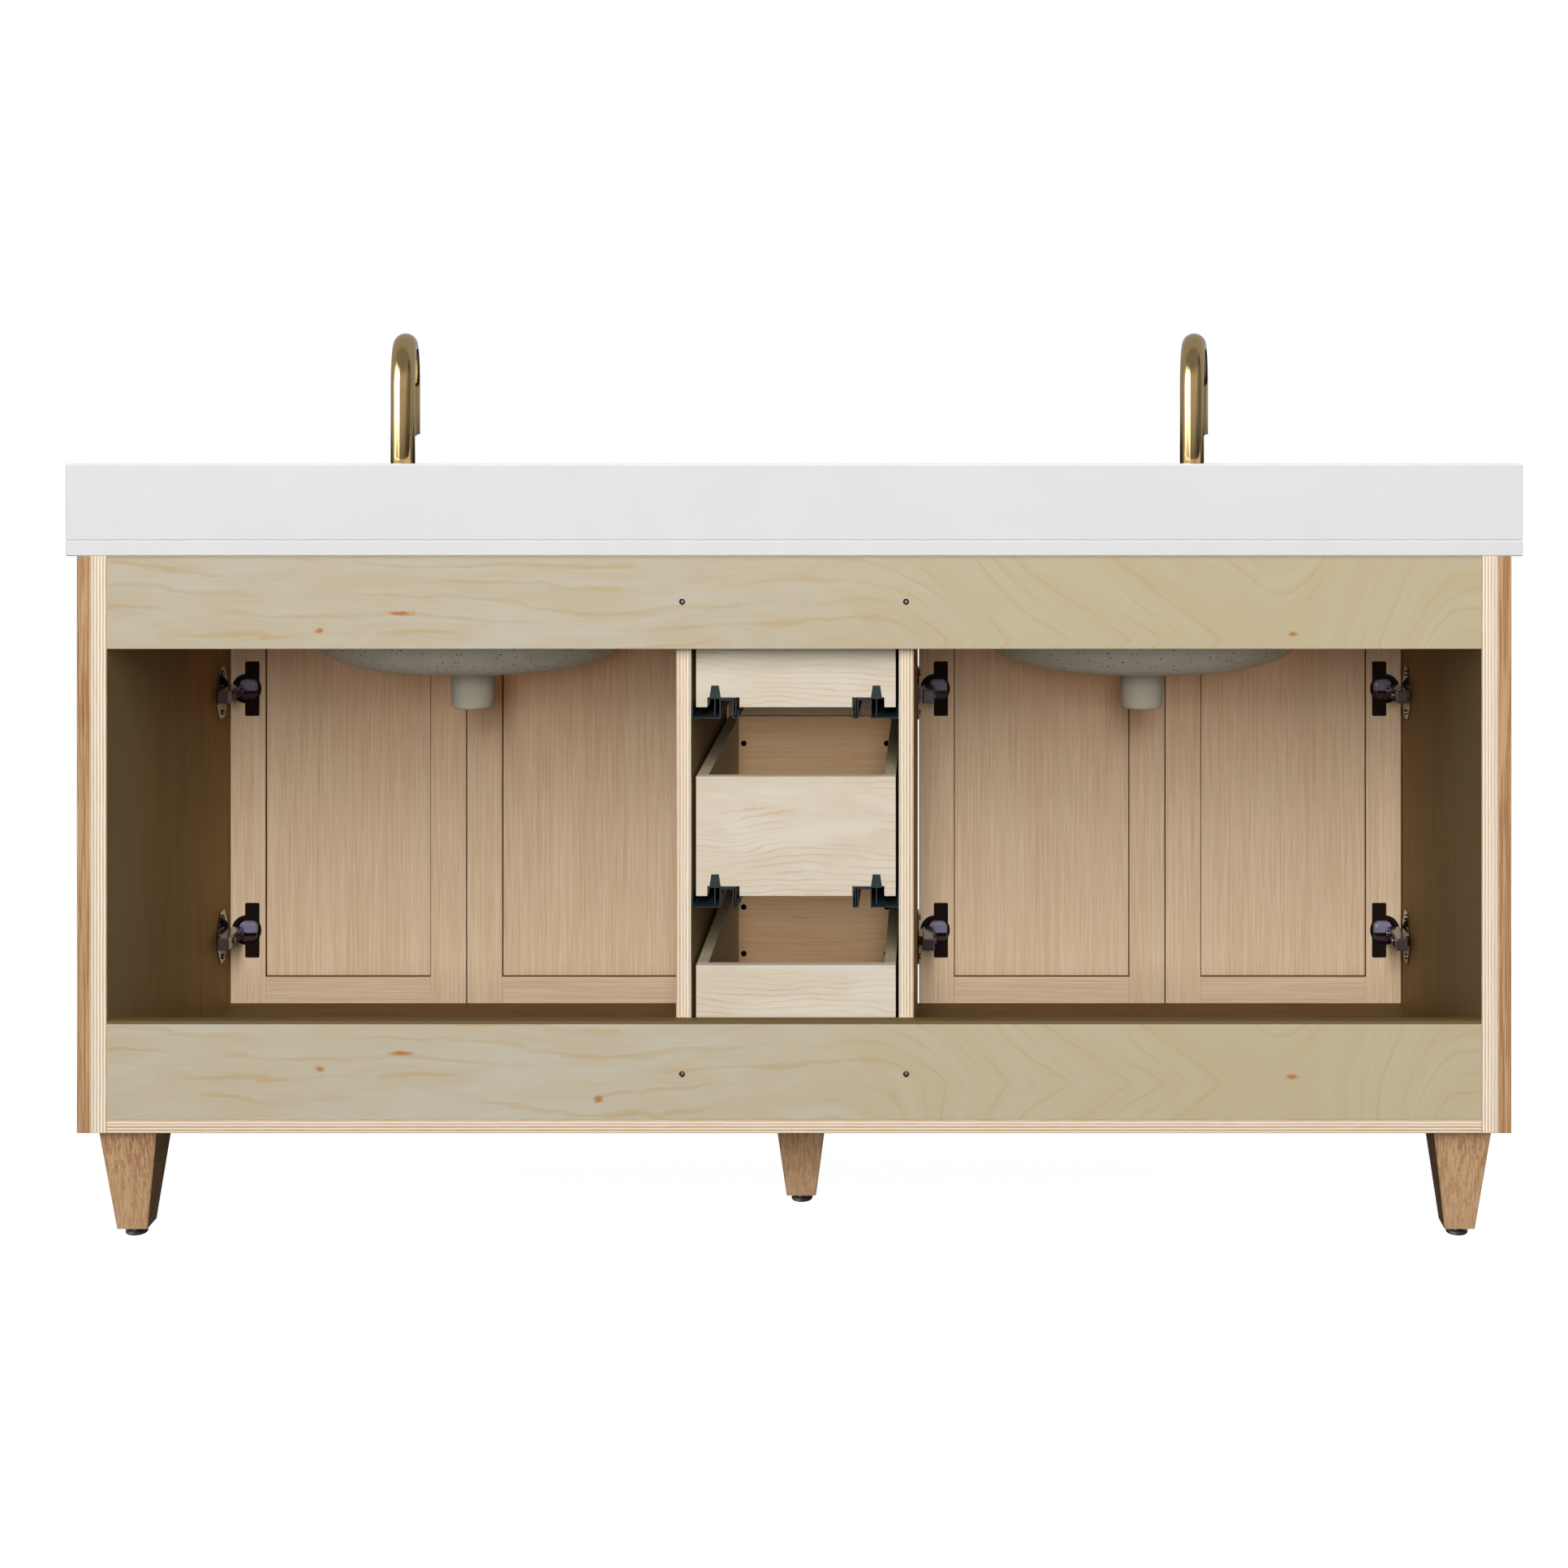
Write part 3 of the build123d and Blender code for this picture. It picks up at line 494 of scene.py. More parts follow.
def shadeRail(tree, coords, color):
    # warmer to the photo's right, a painted shadow line just under the worktop, and painted shade in brown
    # on the level edges and along the top of the bottom rail
    look = railShade
    position = axes(tree, coords["Object"])
    warm = ramp(tree, position["X"], *look["warmSpan"], 0.0, look["warmShare"])
    color = addFlecks(tree, coords, mixColor(tree, warm, color, look["warm"]))
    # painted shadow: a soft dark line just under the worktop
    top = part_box("back_rail_top")[1].z
    shadowLine = ramp(tree, position["Z"], top - look["reach"], top, 0.0, look["share"])
    color = mixColor(tree, shadowLine, color, look["color"])
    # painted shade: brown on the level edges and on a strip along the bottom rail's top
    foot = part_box("back_rail_bottom")[1].z
    aboveFoot = math2(tree, "GREATER_THAN", position["Z"], foot - look["edgeReach"])
    belowRise = math2(tree, "LESS_THAN", position["Z"], foot + look["edgeRise"])
    shadedEdge = larger(tree, times(tree, aboveFoot, belowRise), facing(tree, coords, "Z"))
    return mixColor(tree, shadedEdge, color, look["edge"])


def plywood(name, faceAxis, turn, faceLook, isRail=False, isWall=False):
    # faceAxis is the axis that the veneer faces look along, and the plies lie across it
    material, tree, shader, coords = newPly(name)
    straight = grainVector(tree, coords, turn)
    vector = railVector(tree, coords) if isRail else straight
    face = useGroup(tree, mapleFigure, {"Vector": vector, **faceLook})
    across = absAxis(tree, coords["Object"], faceAxis)
    edge = useGroup(tree, plyEdge, {"Across": across, "Vector": straight})
    isFace = facing(tree, coords, faceAxis)
    faceColor = lightWallByOpening(tree, coords, face["Color"]) if isWall else face["Color"]
    color = mixColor(tree, isFace, edge["Color"], faceColor)
    if isRail:
        color = shadeRail(tree, coords, color)
    tree.links.new(color, shader.inputs["Base Color"])
    height = mixFloat(tree, isFace, edge["Height"], face["Height"])
    addBump(tree, shader, height, *woodFinish["plyBump"])
    return material


uprightNames = [f"{panel}_{side}" for panel in ("side_panel", "divider") for side in sideNames]
railNames = ("back_rail_top", "back_rail_bottom", "front_rails")
dress(plywood("uprightPly", "X", noTurn, innerFace, isWall=True), *uprightNames)
dress(plywood("levelPly", "Z", alongX, shadedFloorFace), "bottom_panel")
dress(plywood("railPly", "Y", alongX, railFace, isRail=True), *railNames)
print("plywood done")

# Drawer boxes: pale maple boards, with the oak board that the front is screwed to

drawerMaple = {"Pale": srgb(218, 210, 194), "Line": srgb(200, 173, 140), "Lines": 0.42,
               "Spacing": 0.0085, "Wander": 14.0, "Curl": 1.6}
# painted shade: the side boards are a darker copy of the drawer maple
shadedDrawerSide = {**drawerMaple, "Pale": srgb(188, 176, 146), "Line": srgb(168, 148, 114)}
drawerOak = {"Pale": srgb(255, 222, 178), "Tan": srgb(248, 200, 152), "Pore": srgb(176, 126, 84),
             "Contrast": 1.2, "Pores": 0.5}
# thickness of the box's boards, and how far a board's colour goes past its face
drawerBoard = {"thick": 0.015, "sidePast": 0.0002, "frontPast": 0.0004}


def drawerBoxWood():
    low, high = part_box("drawer_middle_box")
    material, tree, shader, coords = newPly("drawerBoxWood")
    across = useGroup(tree, mapleFigure, {"Vector": grainVector(tree, coords, alongX), **drawerMaple})
    along = useGroup(tree, mapleFigure, {"Vector": grainVector(tree, coords, alongY), **shadedDrawerSide})
    front = oakColor(tree, coords, drawerOak, alongX)
    position = axes(tree, coords["Object"])
    sideFace = high.x - drawerBoard["thick"] - drawerBoard["sidePast"]
    sideways = math2(tree, "GREATER_THAN", math2(tree, "ABSOLUTE", position["X"]), sideFace)
    between = math2(tree, "LESS_THAN", position["Y"], high.y - drawerBoard["thick"])
    color = mixColor(tree, times(tree, sideways, between), across["Color"], along["Color"])
    frontFace = low.y + drawerBoard["thick"] + drawerBoard["frontPast"]
    isFront = math2(tree, "LESS_THAN", position["Y"], frontFace)
    tree.links.new(mixColor(tree, isFront, color, front["Color"]), shader.inputs["Base Color"])
    addBump(tree, shader, across["Height"], *woodFinish["plyBump"])
    return material


def drawerBaseWood():
    material, tree, shader, coords = newPly("drawerBaseWood")
    figure = useGroup(tree, mapleFigure, {"Vector": grainVector(tree, coords, alongY), **drawerMaple})
    tree.links.new(figure["Color"], shader.inputs["Base Color"])
    addBump(tree, shader, figure["Height"], *woodFinish["plyBump"])
    return material


dress(drawerBoxWood(), *[f"{drawer}_box" for drawer in drawerNames])
dress(drawerBaseWood(), *[f"{drawer}_base" for drawer in drawerNames])
print("drawer boxes done")

# Stone top, and basins glazed inside with a raw underside

stoneLook = {
    "white": srgb(224, 223, 223), "grey": srgb(222, 221, 222),
    "clouds": {"scale": (9, 9, 9), "span": (0.35, 0.65), "detail": 5.0, "roughness": 0.6},
    "grain": srgb(205, 204, 205), "grainShare": 0.25, "grains": {"Density": 0.12, "Size": 700.0},
    "polish": {"scale": (40, 40, 40), "span": (0.3, 0.7), "to": (0.3, 0.42)},
    "jointAndGapShade": srgb(128, 132, 130), "jointHalf": 0.0009, "uprightSpan": (0.6, 0.3),
}


def stoneMaterial():
    look = stoneLook
    material, tree, shader, coords = newMaterial("whiteStone")
    color = mixColor(tree, mottle(tree, coords["Object"], **look["clouds"]), look["white"], look["grey"])
    grains = useGroup(tree, specks, {"Vector": coords["Object"], **look["grains"]})
    color = mixColor(tree, times(tree, grains["Mask"], look["grainShare"]), color, look["grain"])
    # the line where the splashback stands on the worktop, only on upright faces
    height = axes(tree, coords["Object"])["Z"]
    fromJoint = distance(tree, height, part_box("backsplash")[0].z)
    isUpright = ramp(tree, absAxis(tree, coords["Normal"], "Z"), *look["uprightSpan"])
    jointAndGapShade = times(tree, isUpright, ramp(tree, fromJoint, look["jointHalf"], 0.0))
    tree.links.new(mixColor(tree, jointAndGapShade, color, look["jointAndGapShade"]), shader.inputs["Base Color"])
    tree.links.new(mottle(tree, coords["Object"], **look["polish"]), shader.inputs["Roughness"])
    return material


basinLook = {
    "glaze": srgb(240, 239, 236), "insideSpan": (-0.01, -0.03), "upwardSpan": (-0.02, 0.03),
    "raw": srgb(238, 232, 214), "rawDark": srgb(230, 224, 206),
    "clouds": {"scale": (30, 30, 30), "span": (0.3, 0.7), "detail": 5.0, "roughness": 0.6},
    "speck": srgb(58, 52, 46), "fine": {"Density": 0.4, "Size": 380.0}, "fineShare": 0.5,
    "coarse": {"Density": 0.3, "Size": 170.0}, "coarseShare": 0.8,
    "outlet": 0.05, "outletFade": 0.004, "outletTone": srgb(188, 181, 165), "outletShare": 0.9,
    "rawRoughness": 0.75, "glazeRoughness": 0.12, "grit": (600, 600, 600), "bump": (0.3, 0.0003),
}


def glazeMask(tree, coords, low, high):
    # 1 where a face looks up, or in towards the upright axis of its basin
    middle = (low + high) / 2
    normal = axes(tree, coords["Normal"])
    position = axes(tree, coords["Object"])
    fromAxis = minus(tree, math2(tree, "ABSOLUTE", position["X"]), abs(middle.x))
    across = times(tree, fromAxis, math2(tree, "SIGN", position["X"]))
    along = minus(tree, position["Y"], middle.y)
    outward = plus(tree, times(tree, across, normal["X"]), times(tree, along, normal["Y"]))
    isInside = ramp(tree, outward, *basinLook["insideSpan"])
    return larger(tree, ramp(tree, normal["Z"], *basinLook["upwardSpan"]), isInside)


def ceramicMaterial():
    look = basinLook
    low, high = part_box("basin_left")
    material, tree, shader, coords = newMaterial("basinCeramic")
    vector = coords["Object"]
    isGlaze = glazeMask(tree, coords, low, high)
    raw = mixColor(tree, mottle(tree, vector, **look["clouds"]), look["raw"], look["rawDark"])
    fine = useGroup(tree, specks, {"Vector": vector, **look["fine"]})["Mask"]
    coarse = useGroup(tree, specks, {"Vector": vector, **look["coarse"]})["Mask"]
    dots = larger(tree, times(tree, fine, look["fineShare"]), times(tree, coarse, look["coarseShare"]))
    raw = mixColor(tree, dots, raw, look["speck"])
    outletTop = low.z + look["outlet"]
    span = (outletTop, outletTop - look["outletFade"])
    isOutlet = ramp(tree, axes(tree, vector)["Z"], *span, 0.0, look["outletShare"])
    raw = mixColor(tree, isOutlet, raw, look["outletTone"])
    tree.links.new(mixColor(tree, isGlaze, raw, look["glaze"]), shader.inputs["Base Color"])
    rough = mixFloat(tree, isGlaze, look["rawRoughness"], look["glazeRoughness"])
    tree.links.new(rough, shader.inputs["Roughness"])
    grit = times(tree, noise(tree, vector, look["grit"]), minus(tree, 1.0, isGlaze))
    addBump(tree, shader, grit, *look["bump"])
    return material


dress(stoneMaterial(), "countertop", "backsplash")
dress(ceramicMaterial(), "basin_left", "basin_right")
print("stone and ceramic done")

# Metals

metalLooks = {
    "satinBrass": {"color": srgb(206, 176, 124), "metallic": 1.0, "low": 0.07, "high": 0.11},
    "brightNickel": {"color": srgb(176, 170, 168), "metallic": 1.0, "low": 0.07, "high": 0.13},
    "smokyNickel": {"color": srgb(150, 146, 160), "metallic": 0.9, "low": 0.1, "high": 0.18},
    "slateSteel": {"color": srgb(58, 68, 69), "metallic": 0.5, "low": 0.35, "high": 0.5},
    "blackZinc": {"color": srgb(40, 34, 34), "metallic": 0.8, "low": 0.12, "high": 0.2},
    "zincSteel": {"color": srgb(150, 150, 150), "metallic": 1.0, "low": 0.3, "high": 0.45},
}
metalWear = {"stains": {"scale": (60, 60, 60), "span": (0.35, 0.75), "to": (0.0, 0.08), "detail": 4.0},
             "stainTone": 0.75, "bump": (0.015, 0.0001)}


def metalMaterial(name):
    look = metalLooks[name]
    material, tree, shader, coords = newMaterial(name, metallic=look["metallic"])
    vector = coords["Object"]
    hairs = useGroup(tree, brushed, {"Vector": vector, "Low": look["low"], "High": look["high"]})
    tree.links.new(hairs["Roughness"], shader.inputs["Roughness"])
    stains = mottle(tree, vector, **metalWear["stains"])
    color = mixColor(tree, stains, look["color"], toned(look["color"], metalWear["stainTone"]))
    tree.links.new(color, shader.inputs["Base Color"])
    addBump(tree, shader, hairs["Height"], *metalWear["bump"])
    return material


hingeLook = {
    "plate": srgb(27, 19, 18), "upperReflection": srgb(122, 118, 142), "bandReflection": srgb(12, 9, 10),
    "lower": srgb(62, 44, 52), "halfPlate": 0.0405, "hoodRise": 0.0095, "hoodFade": 0.0003,
    "bandTop": -0.001, "bandFoot": -0.006, "topFade": 0.0004, "footFade": 0.0006,
    "plateRoughness": 0.4, "hoodRoughness": 0.16, "plateSheen": 0.1, "hoodSheen": 0.6,
    "wear": {"scale": (220, 220, 220), "span": (0.3, 0.7), "to": (0.0, 0.12)},
}


def hingeCupMetal():
    # a matt dark plate, and a glossy hood with a painted reflection of a pale upper half and a black band,
    # and a plum foot
    look = hingeLook
    low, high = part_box("door_left_outer_hinge_cups")
    material, tree, shader, coords = newMaterial("hingeCupMetal")
    position = axes(tree, coords["Object"])
    hoodFoot = high.y - look["hoodRise"]
    isHood = ramp(tree, position["Y"], hoodFoot - look["hoodFade"], hoodFoot)
    # height over the middle of the hinge that a point belongs to
    isUpper = math2(tree, "GREATER_THAN", position["Z"], (low.z + high.z) / 2)
    middle = mixFloat(tree, isUpper, low.z + look["halfPlate"], high.z - look["halfPlate"])
    height = minus(tree, position["Z"], middle)
    aboveBand = ramp(tree, height, look["bandTop"] - look["topFade"], look["bandTop"])
    belowBand = ramp(tree, height, look["bandFoot"], look["bandFoot"] - look["footFade"])
    # painted reflection on the hood: a pale upper half over a black band
    hood = mixColor(tree, belowBand, look["bandReflection"], look["lower"])
    hood = mixColor(tree, aboveBand, hood, look["upperReflection"])
    tree.links.new(mixColor(tree, isHood, look["plate"], hood), shader.inputs["Base Color"])
    rough = mixFloat(tree, isHood, look["plateRoughness"], look["hoodRoughness"])
    rough = plus(tree, rough, mottle(tree, coords["Object"], **look["wear"]))
    tree.links.new(rough, shader.inputs["Roughness"])
    sheen = mixFloat(tree, isHood, look["plateSheen"], look["hoodSheen"])
    tree.links.new(sheen, shader.inputs["Specular IOR Level"])
    return material


boreLook = {"boreShade": srgb(46, 36, 28), "end": srgb(150, 148, 146), "roughness": 0.4, "metallic": 0.3,
            "endRadius": 0.0021, "endFade": 0.0006, "headRadius": 0.0038}


def railScrewMetal():
    # painted shade down in the bore, with a paler end in the middle of each head
    look = boreLook
    low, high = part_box("rail_screws")
    material, tree, shader, coords = newMaterial("railScrewMetal", look["roughness"], look["metallic"])
    position = axes(tree, coords["Object"])
    sideways = minus(tree, math2(tree, "ABSOLUTE", position["X"]), high.x - look["headRadius"])
    toFoot = distance(tree, position["Z"], low.z + look["headRadius"])
    toTop = distance(tree, position["Z"], high.z - look["headRadius"])
    upright = math2(tree, "MINIMUM", toFoot, toTop)
    squares = plus(tree, times(tree, sideways, sideways), times(tree, upright, upright))
    radius = math2(tree, "SQRT", squares)
    isEnd = ramp(tree, radius, look["endRadius"], look["endRadius"] - look["endFade"])
    tree.links.new(mixColor(tree, isEnd, look["boreShade"], look["end"]), shader.inputs["Base Color"])
    return material


metals = {name: metalMaterial(name) for name in metalLooks}
faucetParts = ("faucet_body", "spout", "aerator", "faucet_hub", "faucet_lever")
dress(metals["satinBrass"], "faucet_nuts", *[f"{part}_{side}" for part in faucetParts for side in sideNames])
dress(metals["brightNickel"], "hinge_plates")
dress(metals["smokyNickel"], "hinge_arms")
dress(hingeCupMetal(), *[f"{door}_hinge_cups" for door in doorNames])
dress(metals["slateSteel"], "slide_rails", *[f"{drawer}_runners" for drawer in drawerNames])
dress(metals["zincSteel"], "leg_glides")
dress(railScrewMetal(), "rail_screws")
print("metals done")

# Door gap shadows: a thin dark strip on each inner door's free edge, as painted shadow in the gap

# painted shadow: a near-black strip in the gap where the inner doors meet
doorGapShadow = {"thick": 0.0007, "fromFace": 0.004, "fromBack": 0.002, "fromEnds": 0.006, "round": 0.00015,
            "roundSteps": 2, "color": srgb(22, 16, 13), "paler": 1.6, "roughness": 0.7, "sheen": 0.1,
            "wear": {"scale": (400, 400, 60), "span": (0.3, 0.7), "to": (0.0, 0.3)}}


def applyModifier(piece, kind, **settings):
    modifier = piece.modifiers.new(kind, kind)
    for setting, value in settings.items():
        setattr(modifier, setting, value)
    bpy.context.view_layer.objects.active = piece
    bpy.ops.object.modifier_apply(modifier=modifier.name)


def gapShadowMaterial():
    look = doorGapShadow
    material, tree, shader, coords = newMaterial("gapShadowDark", look["roughness"], specular=look["sheen"])
    wear = mottle(tree, coords["Object"], **look["wear"])
    color = mixColor(tree, wear, look["color"], toned(look["color"], look["paler"]))
    tree.links.new(color, shader.inputs["Base Color"])
    return material


def makeDoorGapShadow(side, material):
    # the dark strip fills the gap where the two doors of a bay meet, as painted shadow
    door = f"door_{side}_inner"
    low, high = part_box(f"{door}_frame")
    sign = 1 if low.x > 0 else -1
    edge = high.x if sign > 0 else low.x
    sides = sorted((edge, edge + sign * doorGapShadow["thick"]))
    first = Vector((sides[0], low.y + doorGapShadow["fromFace"], low.z + doorGapShadow["fromEnds"]))
    last = Vector((sides[1], high.y - doorGapShadow["fromBack"], high.z - doorGapShadow["fromEnds"]))
    bpy.ops.mesh.primitive_cube_add(size=1.0, location=(first + last) / 2)
    shadowStrip = bpy.context.object
    shadowStrip.name = f"{door}_gap_shadow"
    shadowStrip.scale = last - first
    bpy.ops.object.transform_apply(location=True, scale=True)
    steps = doorGapShadow["roundSteps"]
    applyModifier(shadowStrip, "BEVEL", width=doorGapShadow["round"], segments=steps, limit_method="ANGLE")
    shadowStrip.data.materials.append(material)
    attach(shadowStrip, door)
    bpy.ops.object.select_all(action="DESELECT")


gapShadowDark = gapShadowMaterial()
for side in sideNames:
    makeDoorGapShadow(side, gapShadowDark)
print("door gap shadows done")

# Small fasteners: pan-head screws inside the drawers and in the hinges

panScrew = {"radius": 0.0042, "height": 0.0026, "round": 0.0011, "roundSteps": 4, "slotHalf": 0.00055,
            "slotReach": 0.0026, "slotDepth": 0.0014, "sides": 32, "smoothAngle": 35}
drawerScrews = {"x": 0.106, "heights": (0.045, 0.114), "sunk": 0.0002}
hingeScrews = {"wingReach": 0.029, "wingFace": 0.0025, "armFace": 0.025, "armSpots": (0.016, 0.058)}


def makePanScrew():
    # the head stands on the plane z = 0 and its cross recess is cut from above
    look = panScrew
    bpy.ops.mesh.primitive_cylinder_add(vertices=look["sides"], radius=look["radius"],
                                        depth=look["height"], location=(0, 0, look["height"] / 2))
    head = bpy.context.object
    bpy.ops.object.transform_apply(location=True)
    applyModifier(head, "BEVEL", width=look["round"], segments=look["roundSteps"], limit_method="ANGLE")
    bpy.ops.mesh.primitive_cube_add(size=2.0, location=(0, 0, look["height"]))
    cutter = bpy.context.object
    cutter.scale = (look["slotReach"], look["slotHalf"], look["slotDepth"])
    bpy.ops.object.transform_apply(location=True, scale=True)
    bpy.ops.object.mode_set(mode="EDIT")
    bpy.ops.mesh.select_all(action="SELECT")
    bpy.ops.mesh.duplicate()
    bpy.ops.transform.rotate(value=math.radians(90), orient_axis="Z", center_override=(0, 0, 0))
    bpy.ops.object.mode_set(mode="OBJECT")
    applyModifier(head, "BOOLEAN", object=cutter, operation="DIFFERENCE", use_self=True)
    bpy.data.objects.remove(cutter)
    head.select_set(True)
    bpy.ops.object.shade_smooth_by_angle(angle=math.radians(look["smoothAngle"]))
    bpy.ops.object.select_all(action="DESELECT")
    return head


def spread(template, name, places, body, material):
    # one piece that holds a copy of the template at each place
    bpy.ops.object.select_all(action="DESELECT")
    copies = []
    for matrix in places:
        mesh = template.data.copy()
        mesh.transform(matrix)
        copy = bpy.data.objects.new(name, mesh)
        bpy.context.scene.collection.objects.link(copy)
        copy.select_set(True)
        copies.append(copy)
    bpy.context.view_layer.objects.active = copies[0]
    bpy.ops.object.join()
    piece = bpy.context.object
    piece.name = name
    piece.data.materials.clear()
    piece.data.materials.append(material)
    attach(piece, body)
    bpy.ops.object.select_all(action="DESELECT")


def drawerScrewPlaces(drawer):
    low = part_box(f"{drawer}_box")[0]
    faceY = low.y + drawerBoard["thick"] - drawerScrews["sunk"]
    towardsBack = Matrix.Rotation(math.radians(-90), 4, "X")
    for sign in (-1, 1):
        for height in drawerScrews["heights"]:
            spot = (sign * drawerScrews["x"], faceY, low.z + height)
            yield Matrix.Translation(spot) @ towardsBack


def hingeSpots():
    # wall face, direction into the bay and height of each hinge, from the nodes they sit on
    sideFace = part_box("side_panel_right")[0].x
    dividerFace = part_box("divider_right")[1].x
    cupsLow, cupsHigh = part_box("door_left_outer_hinge_cups")
    levels = (cupsLow.z + hingeLook["halfPlate"], cupsHigh.z - hingeLook["halfPlate"])
    for sign in (-1, 1):
        for face, inward in ((sideFace, -1), (dividerFace, 1)):
            for level in levels:
                yield sign * face, sign * inward, level


def hingeScrewPlaces():
    # a screw in each wing of a plate, and a pair along each arm
    plateLow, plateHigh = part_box("hinge_plates")
    plateY = (plateLow.y + plateHigh.y) / 2
    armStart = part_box("hinge_arms")[0].y
    wingReach = hingeScrews["wingReach"]
    for faceX, inward, level in hingeSpots():
        turn = Matrix.Rotation(math.radians(90 * inward), 4, "Y")
        wingX = faceX + inward * hingeScrews["wingFace"]
        armX = faceX + inward * hingeScrews["armFace"]
        spots = [(wingX, plateY, level + reach) for reach in (-wingReach, wingReach)]
        spots += [(armX, armStart + reach, level) for reach in hingeScrews["armSpots"]]
        for spot in spots:
            yield Matrix.Translation(spot) @ turn


screwHead = makePanScrew()
for drawer in drawerNames:
    places = drawerScrewPlaces(drawer)
    spread(screwHead, f"{drawer}_screws", places, drawer, metals["blackZinc"])
spread(screwHead, "hinge_screws", hingeScrewPlaces(), "carcass", metals["brightNickel"])
bpy.data.objects.remove(screwHead)
print("screws done")

# Stage, light and camera

stageLook = {"floorSize": 40.0, "floor": srgb(200, 200, 200), "bounce": srgb(90, 90, 90),
             "nearShare": 0.8, "nearWhite": 1.2, "radii": (1.6, 3.2),
             "ambient": 0.03, "ambientColor": (1.0, 0.8, 0.62, 1.0), "white": (1.0, 1.0, 1.0, 1.0)}


def seenRay(tree):
    # 1 for what the camera sees, straight or through glass
    path = tree.nodes.new("ShaderNodeLightPath").outputs
    return larger(tree, path["Is Camera Ray"], path["Is Transmission Ray"])


def makeFloor():
    # the floor the camera sees is pale, and the one that lights the cabinet is dark
    look = stageLook
    bpy.ops.mesh.primitive_plane_add(size=look["floorSize"])
    floor = bpy.context.object
    floor.name = "studioFloor"
    material = bpy.data.materials.new("paleFloor")
    material.use_nodes = True
    tree = material.node_tree
    tree.nodes.remove(tree.nodes["Principled BSDF"])
    seen = seenRay(tree)
    matte = place(tree, "BsdfDiffuse", {"Color": mixColor(tree, seen, look["bounce"], look["floor"])})
    spot = place(tree, "TexCoord").outputs["Object"]
    reach = place(tree, "VectorMath", {0: spot}, operation="LENGTH").outputs["Value"]
    strength = ramp(tree, reach, *look["radii"], look["nearWhite"], 1.0)
    glow = place(tree, "Emission", {"Color": look["white"], "Strength": strength})
    share = times(tree, seen, ramp(tree, reach, *look["radii"], look["nearShare"], 1.0))
    mixed = place(tree, "MixShader", {0: share, 1: matte.outputs[0], 2: glow.outputs[0]})
    tree.links.new(mixed.outputs[0], tree.nodes["Material Output"].inputs["Surface"])
    floor.data.materials.append(material)
    bpy.ops.object.select_all(action="DESELECT")


# what metal mirrors: a grey room with one bright upright window on the photo's left and a dark
# wall on its right; each span is the part of a direction over which the change takes place
mirrorLook = {
    "room": 0.62, "above": 0.28, "aboveSpan": (0.35, 0.75), "dark": -0.4, "darkSpan": (-0.62, -0.9),
    "behind": 0.42, "behindSpan": (0.02, -0.2), "belowShare": 0.5, "belowSpan": (-0.1, -0.6),
    "window": 6.0, "windowX": (0.32, 0.4), "windowY": (0.16, 0.36), "windowZ": (0.7, 0.35),
}


def mirroredRoom(tree):
    look = mirrorLook
    direction = axes(tree, place(tree, "TexCoord").outputs["Generated"])
    room = ramp(tree, direction["Z"], *look["aboveSpan"], look["room"], look["above"])
    room = plus(tree, room, ramp(tree, direction["X"], *look["darkSpan"], 0.0, look["dark"]))
    isBehind = ramp(tree, direction["Y"], *look["behindSpan"])
    room = mixFloat(tree, isBehind, room, look["behind"])
    window = ramp(tree, direction["X"], *look["windowX"])
    window = times(tree, window, ramp(tree, direction["Y"], *look["windowY"]))
    window = times(tree, window, ramp(tree, direction["Z"], *look["windowZ"]))
    room = plus(tree, room, times(tree, window, look["window"]))
    return times(tree, room, ramp(tree, direction["Z"], *look["belowSpan"], 1.0, look["belowShare"]))


def makeWorld():
    # white to the camera, the room to metal, and a weak warm light to everything else
    world = bpy.data.worlds.new("studioWorld")
    bpy.context.scene.world = world
    world.use_nodes = True
    tree = world.node_tree
    path = tree.nodes.new("ShaderNodeLightPath").outputs
    unseen = mixFloat(tree, path["Is Glossy Ray"], stageLook["ambient"], mirroredRoom(tree))
    strength = mixFloat(tree, seenRay(tree), unseen, 1.0)
    color = mixColor(tree, path["Is Diffuse Ray"], stageLook["white"], stageLook["ambientColor"])
    background = tree.nodes["Background"]
    tree.links.new(color, background.inputs["Color"])
    tree.links.new(strength, background.inputs["Strength"])


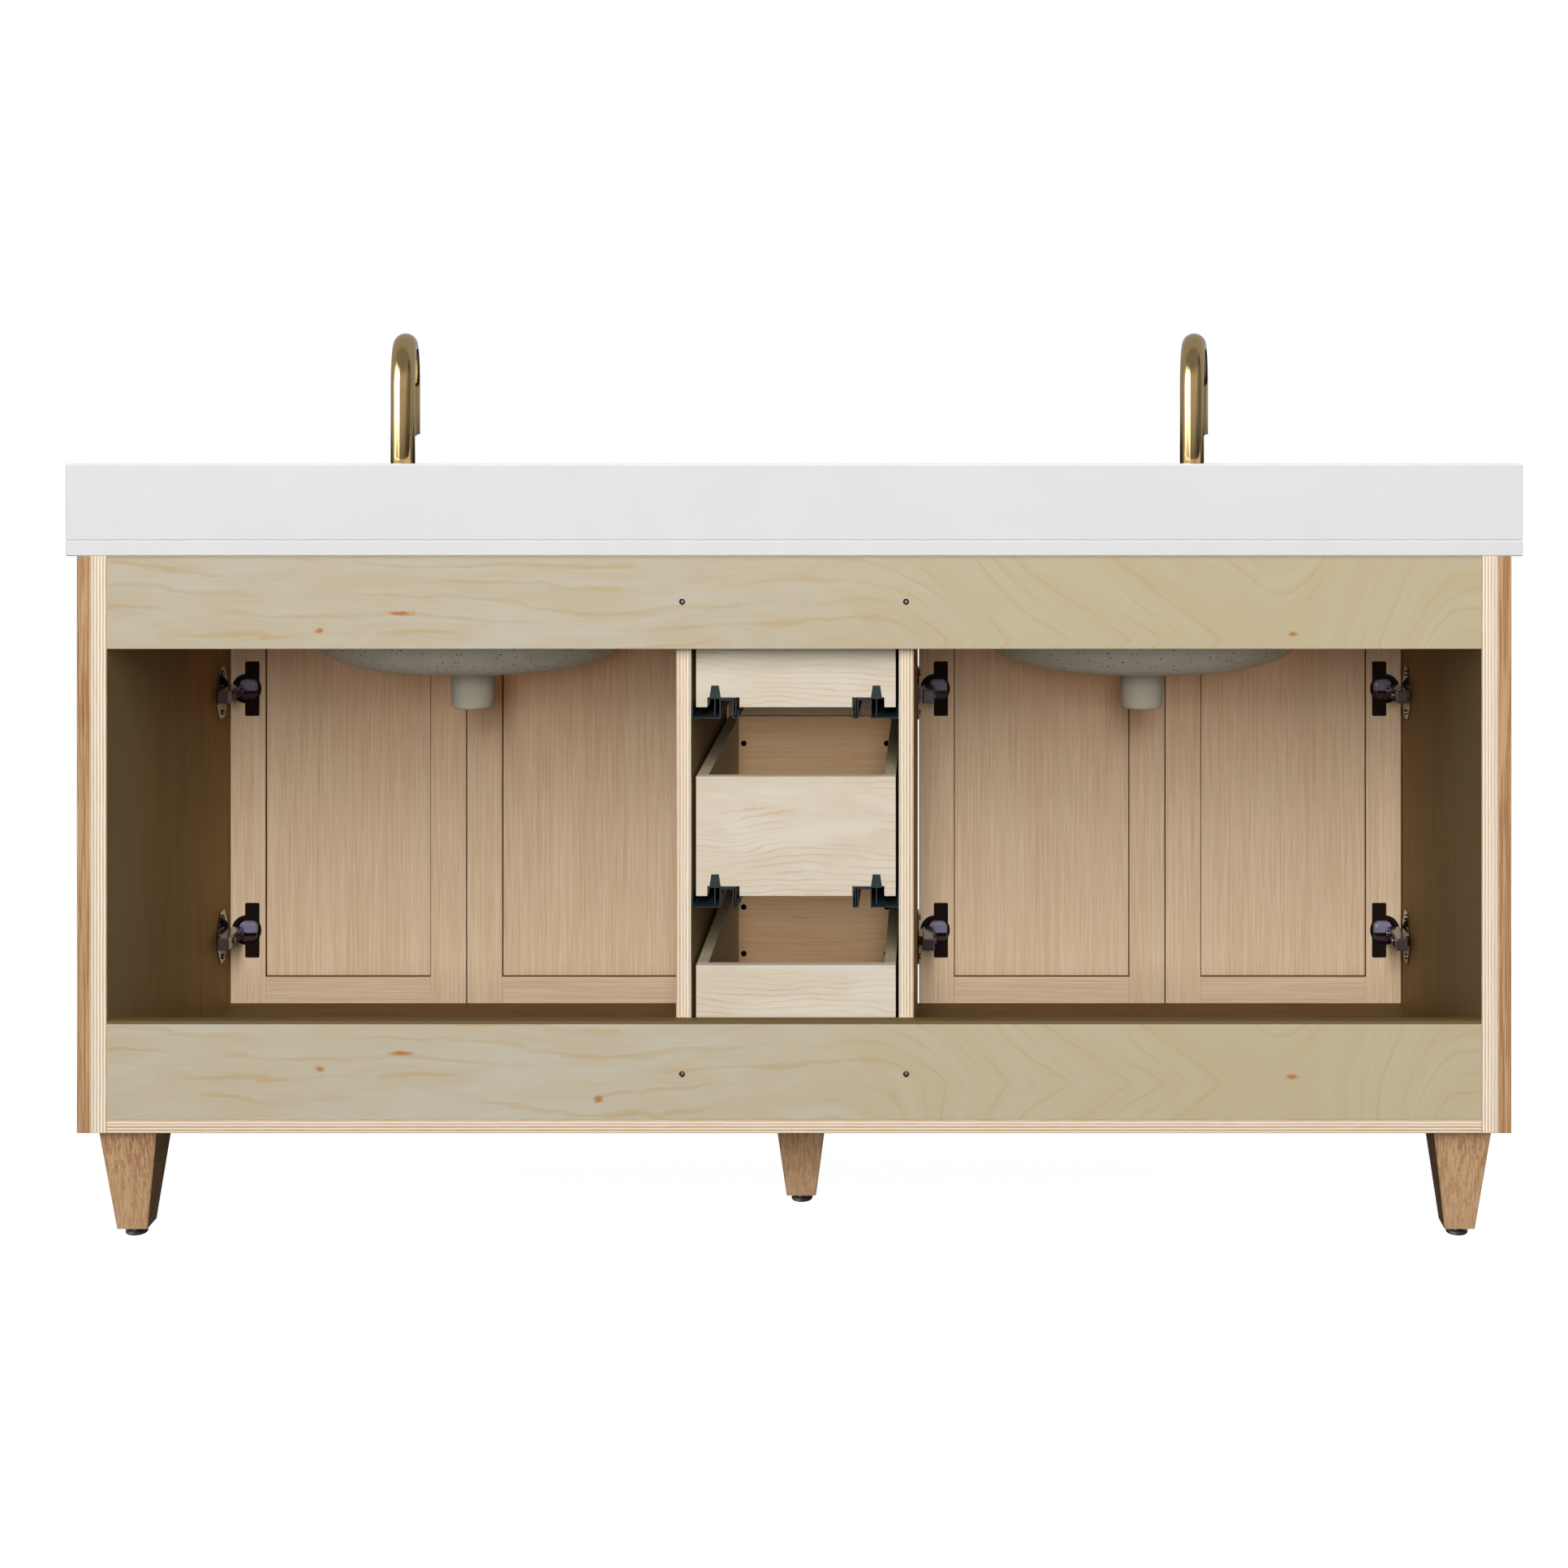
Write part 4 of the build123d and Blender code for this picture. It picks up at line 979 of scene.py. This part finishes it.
# three key lamps above each other stand for one tall soft light: their heights and shares come from
# how the top rail's shadow fades down the doors in the photo; the fill, top and side lamps light what
# the photo doesn't show, and the glow lamps stand for light that the wood of the bays throws about
bayDoors = (-0.24, -0.25, 0.55)
cabinetMiddle = (0.0, 0.0, 0.5)
warmGlow = (1.0, 0.38, 0.14)
whiteLight = (1.0, 1.0, 1.0)
lampLooks = {
    "lowKey": {"at": (-0.24, 9.56, 2.49), "aim": bayDoors, "size": (1.7, 2.1), "power": 285.0},
    "middleKey": {"at": (-0.24, 8.88, 4.62), "aim": bayDoors, "size": (1.7, 2.8), "power": 410.0},
    "highKey": {"at": (-0.24, 7.41, 6.98), "aim": bayDoors, "size": (1.7, 2.8), "power": 310.0},
    "fillLight": {"at": (0.6, -4.0, 2.6), "aim": (0.0, 0.0, 0.6), "size": (3.0, 3.0), "power": 180.0},
    "topLight": {"at": (0.0, -0.6, 5.0), "aim": (0.0, -0.6, 0.0), "size": (3.0, 2.0), "power": 70.0},
    "leftSide": {"at": (4.5, -1.4, 2.0), "aim": cabinetMiddle, "size": (2.0, 2.0), "power": 110.0},
    "rightSide": {"at": (-4.5, -1.4, 2.0), "aim": cabinetMiddle, "size": (2.0, 2.0), "power": 110.0},
    "leftGlow": {"at": (0.51, -0.06, 0.67), "aim": (0.51, -0.25, 0.69), "size": (0.6, 0.06),
                 "power": 0.06, "color": warmGlow},
    "rightGlow": {"at": (-0.51, -0.06, 0.67), "aim": (-0.51, -0.25, 0.69), "size": (0.6, 0.06),
                  "power": 0.06, "color": warmGlow},
}


def areaLight(name, look):
    light = bpy.data.lights.new(name, "AREA")
    light.shape = "RECTANGLE"
    light.size, light.size_y = look["size"]
    light.energy = look["power"]
    light.color = look.get("color", whiteLight)
    lamp = bpy.data.objects.new(name, light)
    bpy.context.scene.collection.objects.link(lamp)
    lamp.location = look["at"]
    towards = Vector(look["aim"]) - Vector(look["at"])
    lamp.rotation_euler = towards.to_track_quat("-Z", "Y").to_euler()
    lamp.visible_camera = False
    lamp.visible_glossy = False


cameraLook = {"at": (-0.1874, 3.3315, 1.1757), "lens": 55.09, "sensor": 36.0, "shift": (-0.1004, -0.293)}


def makeCamera():
    # level, behind the open back, with the frame shifted instead of the camera tilted
    data = bpy.data.cameras.new("photoCamera")
    data.lens = cameraLook["lens"]
    data.sensor_width = cameraLook["sensor"]
    data.shift_x, data.shift_y = cameraLook["shift"]
    camera = bpy.data.objects.new("photoCamera", data)
    bpy.context.scene.collection.objects.link(camera)
    camera.location = cameraLook["at"]
    camera.rotation_euler = (math.radians(90), 0, math.radians(180))
    bpy.context.scene.camera = camera


makeFloor()
makeWorld()
for lampName, lampLook in lampLooks.items():
    areaLight(lampName, lampLook)
makeCamera()
bpy.context.scene.view_settings.view_transform = "Standard"
print("stage, lights and camera done")
